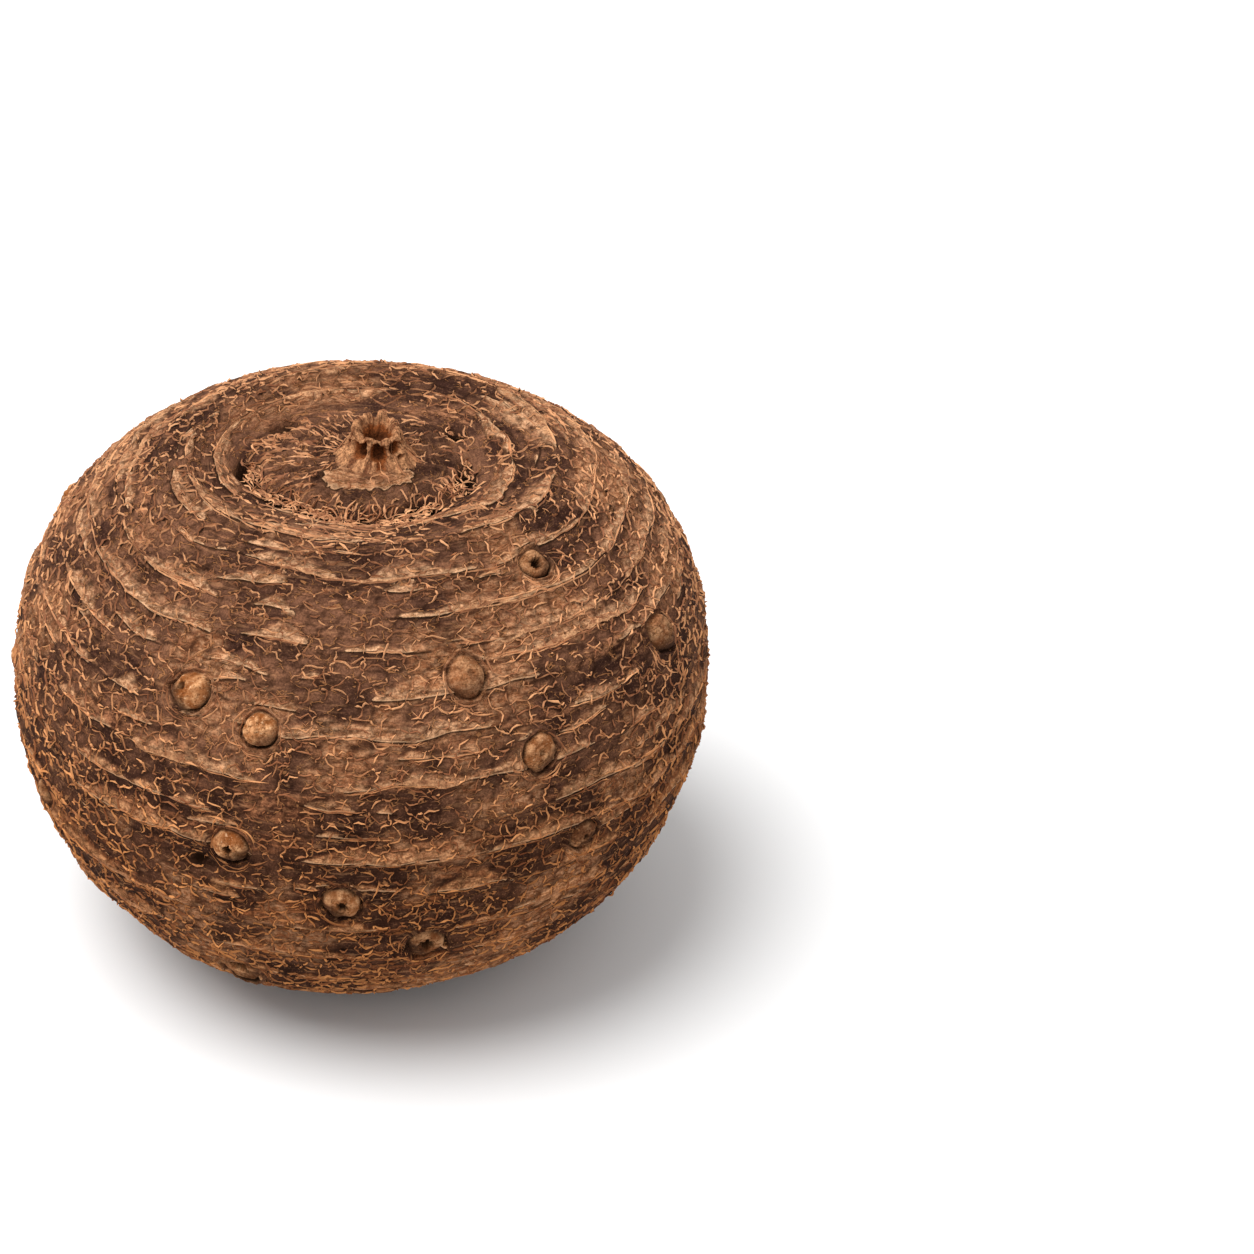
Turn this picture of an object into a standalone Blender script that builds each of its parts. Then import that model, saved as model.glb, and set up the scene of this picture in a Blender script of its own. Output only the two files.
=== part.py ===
"""Elephant foot yam: one whole corm, which grew as a single piece.

A squat turned form carries low growth ridges round it, a moat in its dished top
with a low hump inside, the stub of the leaf stem on the hump, and rounded buds
over its sides. It rests on a small flat spot under its weight. Lengths are in
metres and Z is up. The side with the measured buds faces -Y.
"""
import math
import random

import bpy
import numpy as np
from mathutils import Matrix, Vector

MM = 0.001
NODE = "corm"

# Turned form
GIRTH_RADIUS = 100.0 * MM
GIRTH_HEIGHT = 80.8 * MM
SHOULDER_RISE = 79.6 * MM
BELLY_DROP = 83.8 * MM
SHOULDER_POWER = 2.29
BELLY_POWER = 2.22
LEAN = 0.031
# Each wave round the corm is a count of lobes, a height and a phase
LOBES = ((2, 0.8 * MM, 0.9), (3, 0.6 * MM, 2.1), (5, 0.4 * MM, 4.0))
# Relief and wandering fade out over these distances above the flat base
LOW_RELIEF = 30.0 * MM
LOW_WANDER = 40.0 * MM

# Crown: the top is dished, with a moat round the hump
DISH_DEPTH = 10.0 * MM
DISH_INNER = 30.0 * MM
DISH_OUTER = 58.0 * MM
MOAT_RADIUS = 31.0 * MM
MOAT_DEPTH = 2.6 * MM
MOAT_HALF_WIDTH = 3.2 * MM
MOAT_WARPS = ((1, 2.4 * MM, math.pi), (3, 0.7 * MM, 0.5), (5, 0.6 * MM, 2.2))

# Growth ridges
RIDGE_FIRST = 42.0 * MM
RIDGE_LAST_GAP = 20.0 * MM
RIDGE_SPACING = (8.5 * MM, 12.5 * MM)
RIDGE_HEIGHT = (0.9 * MM, 1.4 * MM)
RIDGE_RISE = 5.0 * MM
RIDGE_FALL = 1.6 * MM
RIDGE_WARPS = ((1, 2.2 * MM, 0.4), (2, 1.4 * MM, 2.6), (3, 0.9 * MM, 5.1), (7, 0.4 * MM, 1.3))
RIDGE_SEED = 5

# Stem stub
STUB_RIM = 4.8 * MM
STUB_HEIGHT = 9.0 * MM
STUB_OFFSET = 1.8 * MM
STUB_NOTCH = 0.9 * MM
STUB_TEARS = 3
STUB_RIBS = 6
STUB_RIB_SHARE = 0.11

# Buds: azimuth from -Y towards +X in degrees, height, width, how far each stands out
FRONT_BUDS = (
    (-31.0, 121.0 * MM, 11.5 * MM, 3.4 * MM),
    (-17.5, 116.0 * MM, 10.5 * MM, 2.8 * MM),
    (-20.5, 83.0 * MM, 10.5 * MM, 2.6 * MM),
    (-3.0, 68.0 * MM, 11.0 * MM, 2.4 * MM),
    (11.0, 50.0 * MM, 11.5 * MM, 2.4 * MM),
    (17.5, 128.0 * MM, 11.5 * MM, 3.0 * MM),
    (28.5, 106.5 * MM, 11.0 * MM, 2.2 * MM),
    (36.5, 77.0 * MM, 9.5 * MM, 1.8 * MM),
    (41.0, 144.5 * MM, 9.5 * MM, 2.0 * MM),
    (62.0, 118.5 * MM, 12.0 * MM, 3.4 * MM),
    (-23.0, 29.5 * MM, 13.0 * MM, 2.4 * MM),
    (-65.0, 64.0 * MM, 8.5 * MM, 2.2 * MM),
)
BACK_BUD_COUNT = 14
BACK_BUD_ARC = (78.0, 282.0)
BACK_BUD_HEIGHT = (34.0 * MM, 136.0 * MM)
BACK_BUD_WIDTH = (9.0 * MM, 12.0 * MM)
BACK_BUD_STAND = (2.0 * MM, 3.4 * MM)
BACK_BUD_TURN_JITTER = 3.0
BACK_BUD_SEED = 11
BUD_ROOT = 4.0 * MM
BUD_OVAL_SHARE = 0.05
GOLDEN_SHARE = 0.6180339887

# Facets
BODY_SEGMENTS = 52
BUD_SEGMENTS = 10
STUB_SEGMENTS = 18
MERIDIAN_STEPS = 4000
LEAST_ROW_GAP = 1.4 * MM
SHARP_ANGLE = math.radians(40.0)

# The photographed skin's mean colour, as linear light
SKIN_COLOUR = (0.190, 0.088, 0.044, 1.0)
SKIN_ROUGHNESS = 0.85


def ease(start, end, value):
    """0 at start, 1 at end, with a soft run in and out."""
    share = np.clip((value - start) / (end - start), 0.0, 1.0)
    return share * share * (3.0 - 2.0 * share)


def closed_outline():
    """Radii and heights of the turned form from the top of its hump to the floor."""
    polar = np.linspace(0.0, math.pi, MERIDIAN_STEPS)
    across, along = np.sin(polar), np.cos(polar)
    upper = along >= 0.0
    reach = np.where(upper, SHOULDER_RISE, BELLY_DROP)
    power = np.where(upper, SHOULDER_POWER, BELLY_POWER)
    size = (across / GIRTH_RADIUS) ** power + (np.abs(along) / reach) ** power
    size = size ** (-1.0 / power)
    radii, heights = size * across, size * along + GIRTH_HEIGHT
    heights -= np.where(upper, DISH_DEPTH * (1.0 - ease(DISH_INNER, DISH_OUTER, radii)), 0.0)
    above = heights > 0.0
    floor_radius = np.interp(0.0, heights[::-1], radii[::-1])
    return np.append(radii[above], floor_radius), np.append(heights[above], 0.0)


class Meridian:
    """The outline looked up by the distance walked along it from the top."""

    def __init__(self):
        self.radii, self.heights = closed_outline()
        steps = np.hypot(np.diff(self.radii), np.diff(self.heights))
        self.walks = np.concatenate(([0.0], np.cumsum(steps)))
        self.length = float(self.walks[-1])
        self.outs = -np.gradient(self.heights, self.walks)
        self.ups = np.gradient(self.radii, self.walks)

    def at(self, walk):
        """Radius, height and the two parts of the outward normal."""
        rows = (self.radii, self.heights, self.outs, self.ups)
        return [float(np.interp(walk, self.walks, row)) for row in rows]

    def walk_to_height(self, height):
        """Distance from the top down to a height on the side of the corm."""
        start = int(np.searchsorted(self.radii[: MERIDIAN_STEPS // 4], DISH_OUTER))
        falling = -self.heights[start:]
        return float(np.interp(-height, falling, self.walks[start:]))


def waves(terms, azimuth):
    """Sum of low harmonics round the corm."""
    return sum(height * math.sin(count * azimuth + phase) for count, height, phase in terms)


def growth_ridges(meridian):
    """Places, heights and phases of the growth ridges from the moat to the base."""
    draw = random.Random(RIDGE_SEED)
    ridges = []
    walk = RIDGE_FIRST
    while walk < meridian.length - RIDGE_LAST_GAP:
        ridges.append((walk, draw.uniform(*RIDGE_HEIGHT), draw.uniform(0.0, math.tau)))
        share = ease(0.0, meridian.length / 2.0, walk)
        spacing = RIDGE_SPACING[0] + (RIDGE_SPACING[1] - RIDGE_SPACING[0]) * float(share)
        walk += spacing * draw.uniform(0.85, 1.15)
    return ridges


def skin_lift(walk, azimuth, ridges):
    """Skin above the turned form: each ridge rises slowly and falls fast, the moat sinks."""
    lift = 0.0
    for place, height, phase in ridges:
        run = RIDGE_RISE if walk < place else RIDGE_FALL
        share = max(0.0, 1.0 - abs(walk - place) / run)
        fade = 0.75 + 0.25 * math.sin(2.0 * azimuth + phase)
        lift = max(lift, height * fade * share)
    moat = math.exp(-(((walk - MOAT_RADIUS) / MOAT_HALF_WIDTH) ** 2))
    return lift - MOAT_DEPTH * moat


def row_walks(meridian, ridges):
    """Distances of the mesh rows, with three rows to every ridge."""
    walks = [MOAT_RADIUS * share for share in (0.2, 0.45, 0.7)]
    walks += [MOAT_RADIUS + MOAT_HALF_WIDTH * share for share in (-1.5, -0.6, 0.0, 0.7, 1.6)]
    for place, _, _ in ridges:
        walks += [place - RIDGE_RISE, place, place + RIDGE_FALL]
    walks += [meridian.length - 11.0 * MM, meridian.length - 4.0 * MM, meridian.length]
    walks.sort()
    kept = [walks[0]]
    for walk in walks[1:]:
        if walk - kept[-1] > LEAST_ROW_GAP:
            kept.append(walk)
    return kept


def skin_point(meridian, walk, azimuth, ridges):
    """A point of the skin; moat and ridges wander while the form under them stays put."""
    ridge_share = ease(MOAT_RADIUS, 2.0 * MOAT_RADIUS, walk)
    moat_share = ease(0.0, MOAT_RADIUS, walk) * (1.0 - ridge_share)
    ridge_share *= 1.0 - ease(meridian.length - LOW_WANDER, meridian.length, walk)
    place = walk + float(moat_share) * waves(MOAT_WARPS, azimuth)
    place += float(ridge_share) * waves(RIDGE_WARPS, azimuth)
    radius, height, out, up = meridian.at(place)
    relief_share = 1.0 - float(ease(meridian.length - LOW_RELIEF, meridian.length, walk))
    lift = skin_lift(walk, azimuth, ridges)
    lift += (radius / GIRTH_RADIUS) * waves(LOBES, azimuth)
    lift *= relief_share
    radius += out * lift
    height += up * lift
    across = radius * math.sin(azimuth) + LEAN * (height - GIRTH_HEIGHT)
    return Vector((across, -radius * math.cos(azimuth), height))


def new_object(name, points, faces):
    mesh = bpy.data.meshes.new(name)
    mesh.from_pydata(points, [], faces)
    mesh.validate()
    thing = bpy.data.objects.new(name, mesh)
    bpy.context.scene.collection.objects.link(thing)
    return thing


def ring_faces(rings, segments, first):
    """Quads between rings of points whose numbers start at first."""
    faces = []
    for ring in range(rings - 1):
        upper = first + ring * segments
        lower = upper + segments
        for step in range(segments):
            after = (step + 1) % segments
            faces.append((upper + step, lower + step, lower + after, upper + after))
    return faces


def build_body(meridian, ridges):
    """The corm itself: a point on the hump, rings of skin and one flat face below."""
    walks = row_walks(meridian, ridges)
    points = [skin_point(meridian, 0.0, 0.0, ridges)]
    for walk in walks:
        for step in range(BODY_SEGMENTS):
            azimuth = math.tau * step / BODY_SEGMENTS
            points.append(skin_point(meridian, walk, azimuth, ridges))
    faces = [(0, 1 + step, 1 + (step + 1) % BODY_SEGMENTS) for step in range(BODY_SEGMENTS)]
    faces += ring_faces(len(walks), BODY_SEGMENTS, 1)
    last = 1 + (len(walks) - 1) * BODY_SEGMENTS
    faces.append(tuple(last + step for step in reversed(range(BODY_SEGMENTS))))
    return new_object(NODE, points, faces)


def turned_plug(name, place, rows, segments, reshape):
    """A closed plug turned about local Z: its rows run from the sunk root to the middle."""
    points = []
    for radius, height in rows[:-1]:
        for step in range(segments):
            angle = math.tau * step / segments
            wide, tall = reshape(angle, radius, height)
            points.append(place @ Vector((wide * math.cos(angle), wide * math.sin(angle), tall)))
    points.append(place @ Vector((0.0, 0.0, rows[-1][1])))
    rings = len(rows) - 1
    faces = [tuple(reversed(face)) for face in ring_faces(rings, segments, 0)]
    faces.append(tuple(reversed(range(segments))))
    last = (rings - 1) * segments
    middle = len(points) - 1
    faces += [(last + step, last + (step + 1) % segments, middle) for step in range(segments)]
    return new_object(name, points, faces)


def bud_rows(width, stand):
    """Root, collar, groove, knob and pit of one bud as radius and height pairs."""
    knob = width / 2.0
    return (
        (1.10 * knob, -BUD_ROOT),
        (1.45 * knob, -0.8 * MM),
        (1.26 * knob, 0.8 * MM),
        (1.06 * knob, 0.3 * MM),
        (0.98 * knob, 0.5 * stand),
        (0.76 * knob, 0.9 * stand),
        (0.40 * knob, stand),
        (0.0, 0.6 * stand),
    )


def bud_places():
    """Azimuths, heights, widths and stands of every bud, the measured ones first."""
    draw = random.Random(BACK_BUD_SEED)
    places = [(math.radians(turn), *sizes) for turn, *sizes in FRONT_BUDS]
    for number in range(BACK_BUD_COUNT):
        share = (number + 0.5) / BACK_BUD_COUNT
        turn = BACK_BUD_ARC[0] + share * (BACK_BUD_ARC[1] - BACK_BUD_ARC[0])
        turn += draw.uniform(-BACK_BUD_TURN_JITTER, BACK_BUD_TURN_JITTER)
        rise = (number * GOLDEN_SHARE) % 1.0
        height = BACK_BUD_HEIGHT[0] + rise * (BACK_BUD_HEIGHT[1] - BACK_BUD_HEIGHT[0])
        width = draw.uniform(*BACK_BUD_WIDTH)
        stand = draw.uniform(*BACK_BUD_STAND)
        places.append((math.radians(turn), height, width, stand))
    return places


def build_bud(number, meridian, ridges, azimuth, height, width, stand):
    """One bud, pointing straight out of the skin."""
    walk = meridian.walk_to_height(height)
    radius, _, out, up = meridian.at(walk)
    across = radius * math.sin(azimuth) + LEAN * (height - GIRTH_HEIGHT)
    foot = Vector((across, -radius * math.cos(azimuth), height))
    normal = Vector((out * math.sin(azimuth), -out * math.cos(azimuth), up))
    lift = 0.5 * skin_lift(walk, azimuth, ridges) + waves(LOBES, azimuth)
    turn = normal.to_track_quat("Z", "Y").to_matrix().to_4x4()
    place = Matrix.Translation(foot + normal * lift) @ turn

    def oval(angle, wide, tall):
        return wide * (1.0 + BUD_OVAL_SHARE * math.sin(2.0 * angle + number)), tall

    return turned_plug(f"bud_{number}", place, bud_rows(width, stand), BUD_SEGMENTS, oval)


def build_stub(meridian, ridges):
    """The leaf stem's stub: ribbed outside, torn at the rim and hollow in the middle."""
    rows = (
        (1.7 * STUB_RIM, -BUD_ROOT),
        (2.7 * STUB_RIM, -0.06 * STUB_HEIGHT),
        (1.9 * STUB_RIM, 0.17 * STUB_HEIGHT),
        (1.45 * STUB_RIM, 0.48 * STUB_HEIGHT),
        (1.15 * STUB_RIM, 0.90 * STUB_HEIGHT),
        (0.92 * STUB_RIM, STUB_HEIGHT),
        (0.60 * STUB_RIM, 0.74 * STUB_HEIGHT),
        (0.0, 0.62 * STUB_HEIGHT),
    )

    def tear(angle, wide, tall):
        share = max(0.0, tall / STUB_HEIGHT)
        wide *= 1.0 + STUB_RIB_SHARE * math.cos(STUB_RIBS * angle)
        return wide, tall + STUB_NOTCH * share * math.sin(STUB_TEARS * angle + 0.6)

    foot = skin_point(meridian, STUB_OFFSET, math.pi / 2.0, ridges)
    return turned_plug("stub", Matrix.Translation(foot), rows, STUB_SEGMENTS, tear)


def fuse(body, extras):
    """Joins the stub and the buds to the body with one union and removes them."""
    group = bpy.data.collections.new("fused_into_corm")
    bpy.context.scene.collection.children.link(group)
    for extra in extras:
        bpy.context.scene.collection.objects.unlink(extra)
        group.objects.link(extra)
    union = body.modifiers.new("join_buds_and_stub", "BOOLEAN")
    union.operation = "UNION"
    union.operand_type = "COLLECTION"
    union.collection = group
    union.solver = "EXACT"
    bpy.context.view_layer.objects.active = body
    bpy.ops.object.modifier_apply(modifier=union.name)
    for extra in extras:
        bpy.data.objects.remove(extra)
    bpy.data.collections.remove(group)


def centre_on_floor(thing):
    """Puts the middle of the box over the origin; the flat base is already at zero."""
    points = [corner.co for corner in thing.data.vertices]
    middle = [(min(p[axis] for p in points) + max(p[axis] for p in points)) / 2.0 for axis in (0, 1)]
    thing.data.transform(Matrix.Translation((-middle[0], -middle[1], 0.0)))


def finish(thing):
    """Skin material and smooth shading, with the sharper folds kept."""
    skin = bpy.data.materials.new("corm_skin")
    skin.use_nodes = True
    shader = skin.node_tree.nodes["Principled BSDF"]
    shader.inputs["Base Color"].default_value = SKIN_COLOUR
    shader.inputs["Roughness"].default_value = SKIN_ROUGHNESS
    shader.inputs["Metallic"].default_value = 0.0
    thing.data.materials.clear()
    thing.data.materials.append(skin)
    thing.data.shade_smooth()
    thing.data.set_sharp_from_angle(angle=SHARP_ANGLE)


def main():
    for old in list(bpy.data.objects):
        bpy.data.objects.remove(old)
    meridian = Meridian()
    ridges = growth_ridges(meridian)
    body = build_body(meridian, ridges)
    extras = [build_bud(number, meridian, ridges, *place) for number, place in enumerate(bud_places())]
    extras.append(build_stub(meridian, ridges))
    fuse(body, extras)
    centre_on_floor(body)
    finish(body)


main()
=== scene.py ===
"""Elephant foot yam, dressed: one whole corm on a pale studio floor.

The skin replaces the plain CAD solid and keeps its form, from the same named values.
The buds and the stem stub are finer copies of the solid's. Thousands of curled skin
edges and dry fibres, and the torn edges of the papery bands, lie on the skin as real
geometry. Lengths are in metres, Z is up, and the side with the measured buds faces -Y.
"""

import math
import random
from functools import partial

import bpy
import numpy as np
from mathutils import Matrix, Vector, noise
from mathutils.bvhtree import BVHTree
from mathutils.geometry import delaunay_2d_cdt
from mathutils.kdtree import KDTree


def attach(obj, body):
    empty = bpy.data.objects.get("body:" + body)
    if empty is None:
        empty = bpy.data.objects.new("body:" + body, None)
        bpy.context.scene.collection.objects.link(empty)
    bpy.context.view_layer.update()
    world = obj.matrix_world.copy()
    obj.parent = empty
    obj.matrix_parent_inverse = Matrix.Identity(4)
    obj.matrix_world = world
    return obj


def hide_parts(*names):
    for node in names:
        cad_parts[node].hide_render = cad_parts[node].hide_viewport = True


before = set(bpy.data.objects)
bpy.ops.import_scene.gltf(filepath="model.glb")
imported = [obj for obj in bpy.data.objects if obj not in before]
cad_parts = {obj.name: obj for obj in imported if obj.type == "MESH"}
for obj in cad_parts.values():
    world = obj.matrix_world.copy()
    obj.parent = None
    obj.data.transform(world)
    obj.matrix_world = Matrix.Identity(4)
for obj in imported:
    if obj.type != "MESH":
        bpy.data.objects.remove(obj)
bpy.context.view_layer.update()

MM = 0.001

# Turned form, as in the solid. A walk is the distance along its outline from the top
GIRTH_RADIUS = 100.0 * MM
GIRTH_HEIGHT = 80.8 * MM
SHOULDER_RISE = 79.6 * MM
BELLY_DROP = 83.8 * MM
SHOULDER_POWER = 2.29
BELLY_POWER = 2.22
LEAN = 0.031
CENTRE_SHIFT = (0.65 * MM, 0.38 * MM)
# Each wave round the corm is a count of lobes, a height and a phase
LOBES = ((2, 0.8 * MM, 0.9), (3, 0.6 * MM, 2.1), (5, 0.4 * MM, 4.0))
LOW_RELIEF = 30.0 * MM
LOW_WANDER = 40.0 * MM

# Crown, as in the solid
DISH_DEPTH = 10.0 * MM
DISH_INNER = 30.0 * MM
DISH_OUTER = 58.0 * MM
MOAT_RADIUS = 31.0 * MM
MOAT_DEPTH = 2.6 * MM
MOAT_HALF_WIDTH = 3.2 * MM
# Torn pockets of the moat: azimuth and half length in degrees
MOAT_POCKETS = (
    (-42.0, 22.0), (24.0, 15.0), (76.0, 15.0), (-84.0, 11.0), (128.0, 8.0), (-132.0, 8.0), (-8.0, 6.0),
)
POCKET_DEPTH = 4.5 * MM
POCKET_HALF_WIDTH = 2.6 * MM
MOAT_WARPS = ((1, 2.4 * MM, math.pi), (3, 0.7 * MM, 0.5), (5, 0.6 * MM, 2.2))

# Growth ridges, as in the solid
RIDGE_FIRST = 42.0 * MM
RIDGE_LAST_GAP = 20.0 * MM
RIDGE_SPACING = (8.5 * MM, 12.5 * MM)
RIDGE_HEIGHT = (0.9 * MM, 1.4 * MM)
RIDGE_RISE = 5.0 * MM
RIDGE_FALL = 1.6 * MM
RIDGE_WARPS = ((1, 2.2 * MM, 0.4), (2, 1.4 * MM, 2.6), (3, 0.9 * MM, 5.1), (7, 0.4 * MM, 1.3))
RIDGE_SEED = 5

# Stem stub: its offset and tears are the solid's
STUB_OFFSET = 1.8 * MM
STUB_TEARS = 3
STUB_RIM_RADIUS = 6.2 * MM
STUB_RIM_HEIGHT = 8.3 * MM
# Shares of the sheet at which the stub's bowl ends in its rim, and its wall in its foot
STUB_RIM_SHARE = 0.24
STUB_WALL_END = 0.64
# Pits of the stub: azimuth and half width in degrees, then top and bottom as shares of its wall
STUB_PITS = (
    (2.0, 20.0, 0.09, 1.06), (-43.0, 20.0, 0.14, 1.0), (42.0, 17.0, 0.07, 0.76), (74.0, 12.0, 0.16, 0.55),
    (-80.0, 10.0, 0.42, 0.76), (-70.0, 8.0, 0.06, 0.28), (47.0, 8.0, 0.78, 0.98), (150.0, 19.0, 0.12, 0.80),
    (-150.0, 17.0, 0.16, 0.85), (-112.0, 13.0, 0.20, 0.66), (108.0, 14.0, 0.14, 0.72),
)

# Buds, as in the solid: azimuth from -Y towards +X, height, width, how far each stands out
FRONT_BUDS = (
    (-31.0, 121.0 * MM, 11.5 * MM, 3.4 * MM),
    (-17.5, 116.0 * MM, 10.5 * MM, 2.8 * MM),
    (-20.5, 83.0 * MM, 10.5 * MM, 2.6 * MM),
    (-3.0, 68.0 * MM, 11.0 * MM, 2.4 * MM),
    (11.0, 50.0 * MM, 11.5 * MM, 2.4 * MM),
    (17.5, 128.0 * MM, 11.5 * MM, 3.0 * MM),
    (28.5, 106.5 * MM, 11.0 * MM, 2.2 * MM),
    (36.5, 77.0 * MM, 9.5 * MM, 1.8 * MM),
    (41.0, 144.5 * MM, 9.5 * MM, 2.0 * MM),
    (62.0, 118.5 * MM, 12.0 * MM, 3.4 * MM),
    (-23.0, 29.5 * MM, 13.0 * MM, 2.4 * MM),
    (-65.0, 64.0 * MM, 8.5 * MM, 2.2 * MM),
)
FRONT_KINDS = (
    "knob", "petals", "pitted", "star", "crater", "smooth",
    "disc", "scar", "crater", "smooth", "torn", "smooth",
)
# Each kind of bud: roundness of its dome, share of its stand, radius of its pit in knob radii,
# depth of the pit, number and depth of the cracks, and how bare of skin its cork is
BUD_KINDS = {
    "knob": (2.0, 1.40, 0.24, 0.9 * MM, 5, 1.0 * MM, 1.0),
    "petals": (2.1, 1.25, 0.12, 0.5 * MM, 9, 0.6 * MM, 1.0),
    "pitted": (2.8, 1.2, 0.26, 2.4 * MM, 4, 0.5 * MM, 0.85),
    "star": (4.0, 0.85, 0.26, 1.3 * MM, 5, 0.5 * MM, 0.65),
    "crater": (5.0, 0.50, 0.40, 2.6 * MM, 3, 0.4 * MM, 0.45),
    "smooth": (2.2, 1.15, 0.20, 0.5 * MM, 0, 0.0, 0.4),
    "disc": (3.4, 0.9, 0.16, 0.5 * MM, 4, 0.4 * MM, 0.7),
    "scar": (4.0, 0.60, 0.20, 0.9 * MM, 3, 0.4 * MM, 0.25),
    "torn": (5.0, 0.30, 0.62, 3.2 * MM, 3, 0.4 * MM, 0.4),
}
# How far the pit lies off the middle, sideways and upwards, in knob radii
PIT_SHIFTS = {"torn": (0.0, 0.30), "knob": (-0.26, 0.20), "smooth": (0.06, 0.12), "scar": (0.1, -0.1)}
BACK_KINDS = ("knob", "pitted", "petals", "disc", "crater", "smooth", "star", "scar")
BACK_BUD_COUNT = 14
BACK_BUD_ARC = (78.0, 282.0)
BACK_BUD_HEIGHT = (34.0 * MM, 136.0 * MM)
BACK_BUD_WIDTH = (9.0 * MM, 12.0 * MM)
BACK_BUD_STAND = (2.0 * MM, 3.4 * MM)
BACK_BUD_TURN_JITTER = 3.0
BACK_BUD_SEED = 11
GOLDEN_SHARE = 0.6180339887
# How far the skin dips under a bud, and how far it lies under the solid's to leave room for strands
BUD_SEAT = 2.6 * MM
SKIN_SETTLE = 0.7 * MM
# Torn hollows in the skin: azimuth, height, reach and depth
HOLLOWS = (
    (-25.5, 76.0 * MM, 5.0 * MM, 2.2 * MM),
    (-22.0, 33.5 * MM, 6.0 * MM, 2.0 * MM),
    (118.0, 60.0 * MM, 5.0 * MM, 1.8 * MM),
    (205.0, 96.0 * MM, 5.5 * MM, 2.0 * MM),
)
# Rubbed sheet in front of the stub: azimuth, half width in degrees, and its outer edge
RUBBED_FRONT = (-2.0, 52.0, 18.5 * MM)

# Plates that the skin has cracked into, drawn out along the rings by a stretch at each walk
PLATE_SPACING = 4.2 * MM
PLATE_STRETCH_WALKS = (40 * MM, 75 * MM, 120 * MM, 175 * MM, 215 * MM, 245 * MM)
PLATE_STRETCH = (1.9, 1.7, 1.25, 1.25, 1.6, 2.2)
PLATE_SEED = 31
# How much the grain that the skin's material draws is drawn out along the rings
GRAIN_STRETCH = 1.8
# Papery bands: layers of skin that overlap like shingles, each ending below along a ring.
# A band's lip is its lifted edge, and a patch is how long it shows before it tapers out
BAND_WIDTH = 7.0 * MM
BAND_LIP = 2.6 * MM
BAND_PATCH = 26.0 * MM
BAND_SWAY = 3.2 * MM
BAND_WANDER = 1.6 * MM
BAND_SEED = 35

# Facets of the finer pieces
MERIDIAN_STEPS = 6000
SKIN_SEGMENTS = 448
SKIN_ROW_GAP = 1.17 * MM
BASE_ROWS = 6
BUD_SEGMENTS = 48
BUD_ROWS = 30
# Outer edge of a bud's sheet, in knob radii
BUD_REACH = 1.6
STUB_SEGMENTS = 144
STUB_ROWS = 72
BAND_COLUMNS = 28
# Places of a strand's rings as shares of its length
LONG_SHARES = (0.0, 0.05, 0.2, 0.35, 0.5, 0.65, 0.8, 0.95, 1.0)
EDGE_SHARES = (0.0, 0.08, 0.36, 0.64, 0.92, 1.0)
SHORT_SHARES = (0.0, 0.12, 0.5, 0.88, 1.0)
CROWN_SHARES = (0.0, 0.04, 0.13, 0.24, 0.35, 0.46, 0.57, 0.68, 0.79, 0.9, 0.97, 1.0)

# Torn edges beside each bud: how many, how many of them run round it, and how many hug it
EDGES_PER_BUD = 11
CIRCLING_EDGES = 7
CLOSE_EDGES = 4

# The photograph's view
VIEW_RISE = math.radians(32.0)
VIEW_DISTANCE = 1.011
VIEW_LENS = 100.0
SENSOR_WIDTH = 36.0
PHOTO_WIDTH = 1254.0
GIRTH_CENTRE_PIXEL = (363.1, 664.8)

# Studio, and the heights between which every finish is painted paler upwards: painted light falling from
# above
KEY_WAY = (0.42, 0.16, -1.0)
KEY_ENERGY = 3.3
KEY_ANGLE = math.radians(46.0)
WORLD_STRENGTH = 0.73
FLOOR_COLOUR = "#ececec"
PAINTED_LIGHT_HEIGHTS = (60.0 * MM, 135.0 * MM)


def ease(start, end, value):
    """0 at start, 1 at end, with a soft run in and out."""
    share = np.clip((value - start) / (end - start), 0.0, 1.0)
    return share * share * (3.0 - 2.0 * share)


def hill(value, middle, width):
    """1 in the middle, falling to 0 over about twice the width."""
    return np.exp(-(((value - middle) / width) ** 2))


def wrapped(angle):
    """The same angle between -pi and pi."""
    return (angle + math.pi) % math.tau - math.pi


def points_of(across, along, up):
    """Points from their three coordinates, any of which may be one number."""
    return np.stack(np.broadcast_arrays(across, along, up), axis=-1)


def closed_outline():
    """Radii and heights of the turned form from the top of its hump to the floor."""
    polar = np.linspace(0.0, math.pi, MERIDIAN_STEPS)
    across, along = np.sin(polar), np.cos(polar)
    upper = along >= 0.0
    reach = np.where(upper, SHOULDER_RISE, BELLY_DROP)
    power = np.where(upper, SHOULDER_POWER, BELLY_POWER)
    size = (across / GIRTH_RADIUS) ** power + (np.abs(along) / reach) ** power
    size = size ** (-1.0 / power)
    radii, heights = size * across, size * along + GIRTH_HEIGHT
    heights -= np.where(upper, DISH_DEPTH * (1.0 - ease(DISH_INNER, DISH_OUTER, radii)), 0.0)
    above = heights > 0.0
    floor_radius = np.interp(0.0, heights[::-1], radii[::-1])
    return np.append(radii[above], floor_radius), np.append(heights[above], 0.0)


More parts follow.
